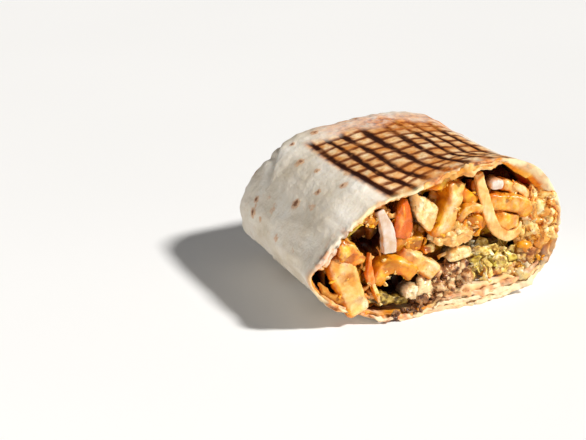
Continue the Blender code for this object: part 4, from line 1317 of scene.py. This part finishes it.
def egg_top(x, y):
    return np.minimum(deepen(x, EGG_HIGH, y)[1], room_at(deepen(x, 0, y)[0], y, 1) - 0.2)


def egg_front(x, z):
    return 4.4 + 0.9 * np.sin(x * 1.3 + z * 0.45) + 0.7 * np.cos(z * 0.8 - x * 0.6)


def egg():
    """Crumbled egg along the right wall, with pale strips across it and crumbs up to the rim."""
    generator = np.random.default_rng(SEED + 2)
    batch = Batch(*FOOD_VALUES)
    grid = fine_filling(batch, EGG_EDGES, 34, 70, egg_floor, egg_top, egg_front,
                        ((0.9, 3.4, 7), (0.3, 1.4, 8)))
    flat = grid[2:-2, 2:-2].reshape(-1, 3)
    for k in range(EGG_BITS):
        x, _, z = pick(flat, generator)
        radius = generator.uniform(0.85, 1.15) * (5.2 - 3.6 * k / EGG_BITS)
        lump(batch, (x, 2.4 + 0.5 * radius + generator.uniform(-0.8, 1.8), z), radius, generator, 4, 0.34,
             generator.uniform(0.5, 1.1, 3), reach=generator.uniform(0, 1))
    for k, (path, width) in enumerate(EGG_STRIPS):
        shred(batch, path, width, k + 70, 0.8 * width, 0.9)
    for k in range(RIM_CRUMBS):
        x, z = RIM_CRUMB_MIDDLE + generator.uniform(-1, 1, 2) * RIM_CRUMB_SPREAD
        radius = generator.uniform(1.2, 3.2)
        lump(batch, (x, 0.4 * radius + generator.uniform(0, 1.6), z), radius, generator, 3, 0.4,
             generator.uniform(0.6, 1.1, 3), reach=generator.uniform(0, 1))
    batch.piece("egg_crumbs", LOOKS["egg_crumble"], "egg_crumble")


# Pieces that the knife went through: look, outline in the cut plane, front and back depth, folds, lumps
CUT_PIECES = {
    "tomato_piece": (
        "tomato", [(-19.4, 34.4), (-14.8, 33.2), (-11.0, 35.2), (-11.6, 41), (-12.8, 47), (-15.0, 49.0),
                   (-17.6, 44.4), (-19.4, 39)], 1.2, 8.0, 0.8, 0.12),
    "onion_petal": (
        "pale_leaf", [(-11.2, 52.4), (-9.0, 50.0), (-5.4, 47.4), (-2.2, 45.0), (-0.8, 41.6), (-2.2, 37.6),
                      (-4.2, 35.0), (-7.4, 37.4), (-10.8, 41.6), (-12.0, 46.8)], -0.2, 8.0, 1.0, 0.26),
    "melted_cheese": (
        "melted_cheese", [(-1.2, 31.6), (4, 32.3), (9, 33.3), (13.8, 32.6), (15.4, 30), (13.6, 27), (9, 26.1),
                          (3, 26.6), (-1.6, 28.6)], 1.0, 8.0, 0.9, 0.45),
    "cheese_block": (
        "cheese_block", [(6.0, 20.3), (13.6, 20.8), (14.6, 24.6), (8, 25.2), (5.4, 23)], 0.6, 8.0, 0.4, 0.22),
    "cheese_cube": (
        "white_cheese", [(-13.8, 8.4), (-9.0, 8.0), (-8.4, 12.2), (-10.8, 13.6), (-14.0, 12.0)],
        0.6, 8.0, 0.4, 0.3),
    "onion_bit": (
        "white_onion", [(24.2, 46.6), (28.6, 46.4), (29.4, 49.6), (26, 50.8), (23.9, 49.4)],
        2.0, 8.0, 0.35, 0.1),
    "lettuce_leaf": (
        "wilted_leaf", [(-29.5, 9.2), (-23, 6.9), (-16, 5.6), (-11, 5.4), (-11, 8), (-18, 9.6), (-26, 13.2),
                        (-29.6, 13)], 3.0, 8.0, 0.8, 0.3),
    "browned_piece": (
        "browned_bits", [(39.4, 14.4), (42.6, 13), (45.8, 15.8), (48, 18.4), (44, 19.2), (39.6, 18.8)],
        1.0, 9.0, 0.7, 0.4),
}
# Long slices: look, path as (x, y, z), widths along it, thickness, how square
SLICES = {
    "onion_slice": (
        "white_onion", [(-24.0, 5.4, 44.4), (-22.4, 3.6, 40.0), (-21.5, 2.8, 34.4), (-21.4, 3.0, 28.9)],
        (3.0, 5.0, 5.6, 5.8), 3.8, 5.5),
    "pepper_piece": (
        "tomato", [(-28.8, 4.4, 29.0), (-29.2, 3.4, 25.0), (-29.0, 3.0, 21.2), (-28.2, 3.2, 17.0)],
        (0.5, 2.0, 3.6, 3.0), 3.0, 3.0),
    "long_onion_strip": (
        "stained_onion", [(19.2, 5.6, 53.0), (20.4, 4.6, 47.6), (21.9, 3.8, 41.6), (23.6, 3.2, 36.0),
                          (26.2, 2.8, 30.8), (30.0, 2.8, 27.2), (34.2, 3.2, 26.0), (37.4, 3.8, 27.2),
                          (39.0, 4.6, 30.2)], (3.8, 4.0, 4.5, 4.8, 4.9, 4.6, 4.0, 3.0, 1.2), 3.0, 4.0),
    "onion_sliver": (
        "stained_onion", [(35.0, 4.4, 46.8), (38.9, 3.8, 43.8), (42.8, 4.2, 39.4)],
        (1.8, 3.2, 2.0), 2.6, 3.5),
    "green_strip": (
        "green_strip", [(-38.4, 5.0, 38.2), (-35.2, 4.6, 40.6), (-31.4, 4.8, 43.2)],
        (1.4, 2.2, 1.6), 4.0, 3.0),
}


def cut_piece(name, look, rings, **values):
    batch = Batch(*FOOD_VALUES)
    batch.add_rings(rings, **values)
    batch.piece(name + "_cut", LOOKS[look], name)


def cut_pieces():
    """The pieces that show on the cut, each on its own."""
    for k, (name, (look, corners, front, back, folds, lumps)) in enumerate(CUT_PIECES.items()):
        rings, reach = chunk_rings(corners, front, back)
        swell = folds * (0.4 - 1.3 * np.abs(rough(rings * (1, 0.7, 0.4), 4.2, k)))
        swell = swell + lumps * layers(rings, (1, 1.5, k + 20), (0.35, 0.7, k))
        shade = 0.9 * smoothstep(front + 0.9, front + 5.0, rings[..., 1])
        cut_piece(name, look, swollen(rings, swell), reach=reach, crest=1.3 * swell, deep=shade)
    for k, (name, (look, path, widths, thick, power)) in enumerate(SLICES.items()):
        points = open_curve(path, 24 * (len(path) - 1))
        width = np.interp(np.linspace(0, len(path) - 1, len(points)), range(len(path)), widths)
        roll = 8 * np.sin(np.linspace(0, 4, len(points)))
        rings, _ = bar_rings(points, width, thick, roll, 36, power)
        swell = layers(rings, (0.22, 4.0, k + 50), (0.08, 1.5, k + 60))
        side = np.abs(ring_normals(rings)[..., 0])
        cut_piece(name, look, swollen(rings, swell), reach=0.3 + 0.6 * side)


# Floor, light and camera

EYE = (-0.2841, -0.4988, 0.2427)
AIM = (-0.0480, -0.0133, 0.0358)
LENS = 92.15
FLOOR_SIZE = 24.0


def floor():
    """A wide white floor, staged so that it is no part of the object."""
    mesh = bpy.data.meshes.new("floor")
    half = FLOOR_SIZE / 2
    corners = [(-half, -half, 0), (half, -half, 0), (half, half, 0), (-half, half, 0)]
    mesh.from_pydata(corners, [], [(0, 1, 2, 3)])
    look = Look("floor")
    tone = look.ramp(look.noise(400, 2), (0.3, 0.7), (250, 250, 250), (254, 254, 254))
    mesh.materials.append(look.done(tone, 0.7))
    add_object("floor", mesh)


def aim(obj, stand, target):
    """Stands a light or the camera somewhere and turns it to its target."""
    obj.location = stand
    obj.rotation_mode = "QUATERNION"
    obj.rotation_quaternion = (Vector(target) - obj.location).to_track_quat("-Z", "Y")


def light(name, kind, stand, target, energy, colour, **settings):
    data = bpy.data.lights.new(name, kind)
    data.energy = energy
    data.color = colour
    for setting, value in settings.items():
        setattr(data, setting, value)
    aim(add_object(name, data), stand, target)


def lights():
    light("key", "SUN", (0.42, -0.44, 0.6), (0, -0.02, 0.03), 3.85, (1, 0.98, 0.945), angle=math.radians(7))
    light("fill", "AREA", (-0.55, -0.45, 0.12), (0, 0, 0.03), 1.5, (1, 0.95, 0.88), shape="DISK", size=0.4)
    world = bpy.data.worlds.new("studio")
    world.use_nodes = True
    background = world.node_tree.nodes["Background"]
    background.inputs["Color"].default_value = (1, 1, 1, 1)
    background.inputs["Strength"].default_value = 0.14
    bpy.context.scene.world = world


def camera():
    data = bpy.data.cameras.new("camera")
    data.lens = LENS
    data.sensor_width = 36
    obj = add_object("camera", data)
    aim(obj, EYE, AIM)
    bpy.context.scene.camera = obj


camera()
lights()
floor()
tortilla()
fries()
meat()
salad()
egg()
cut_pieces()
bpy.context.scene.view_settings.view_transform = "Standard"
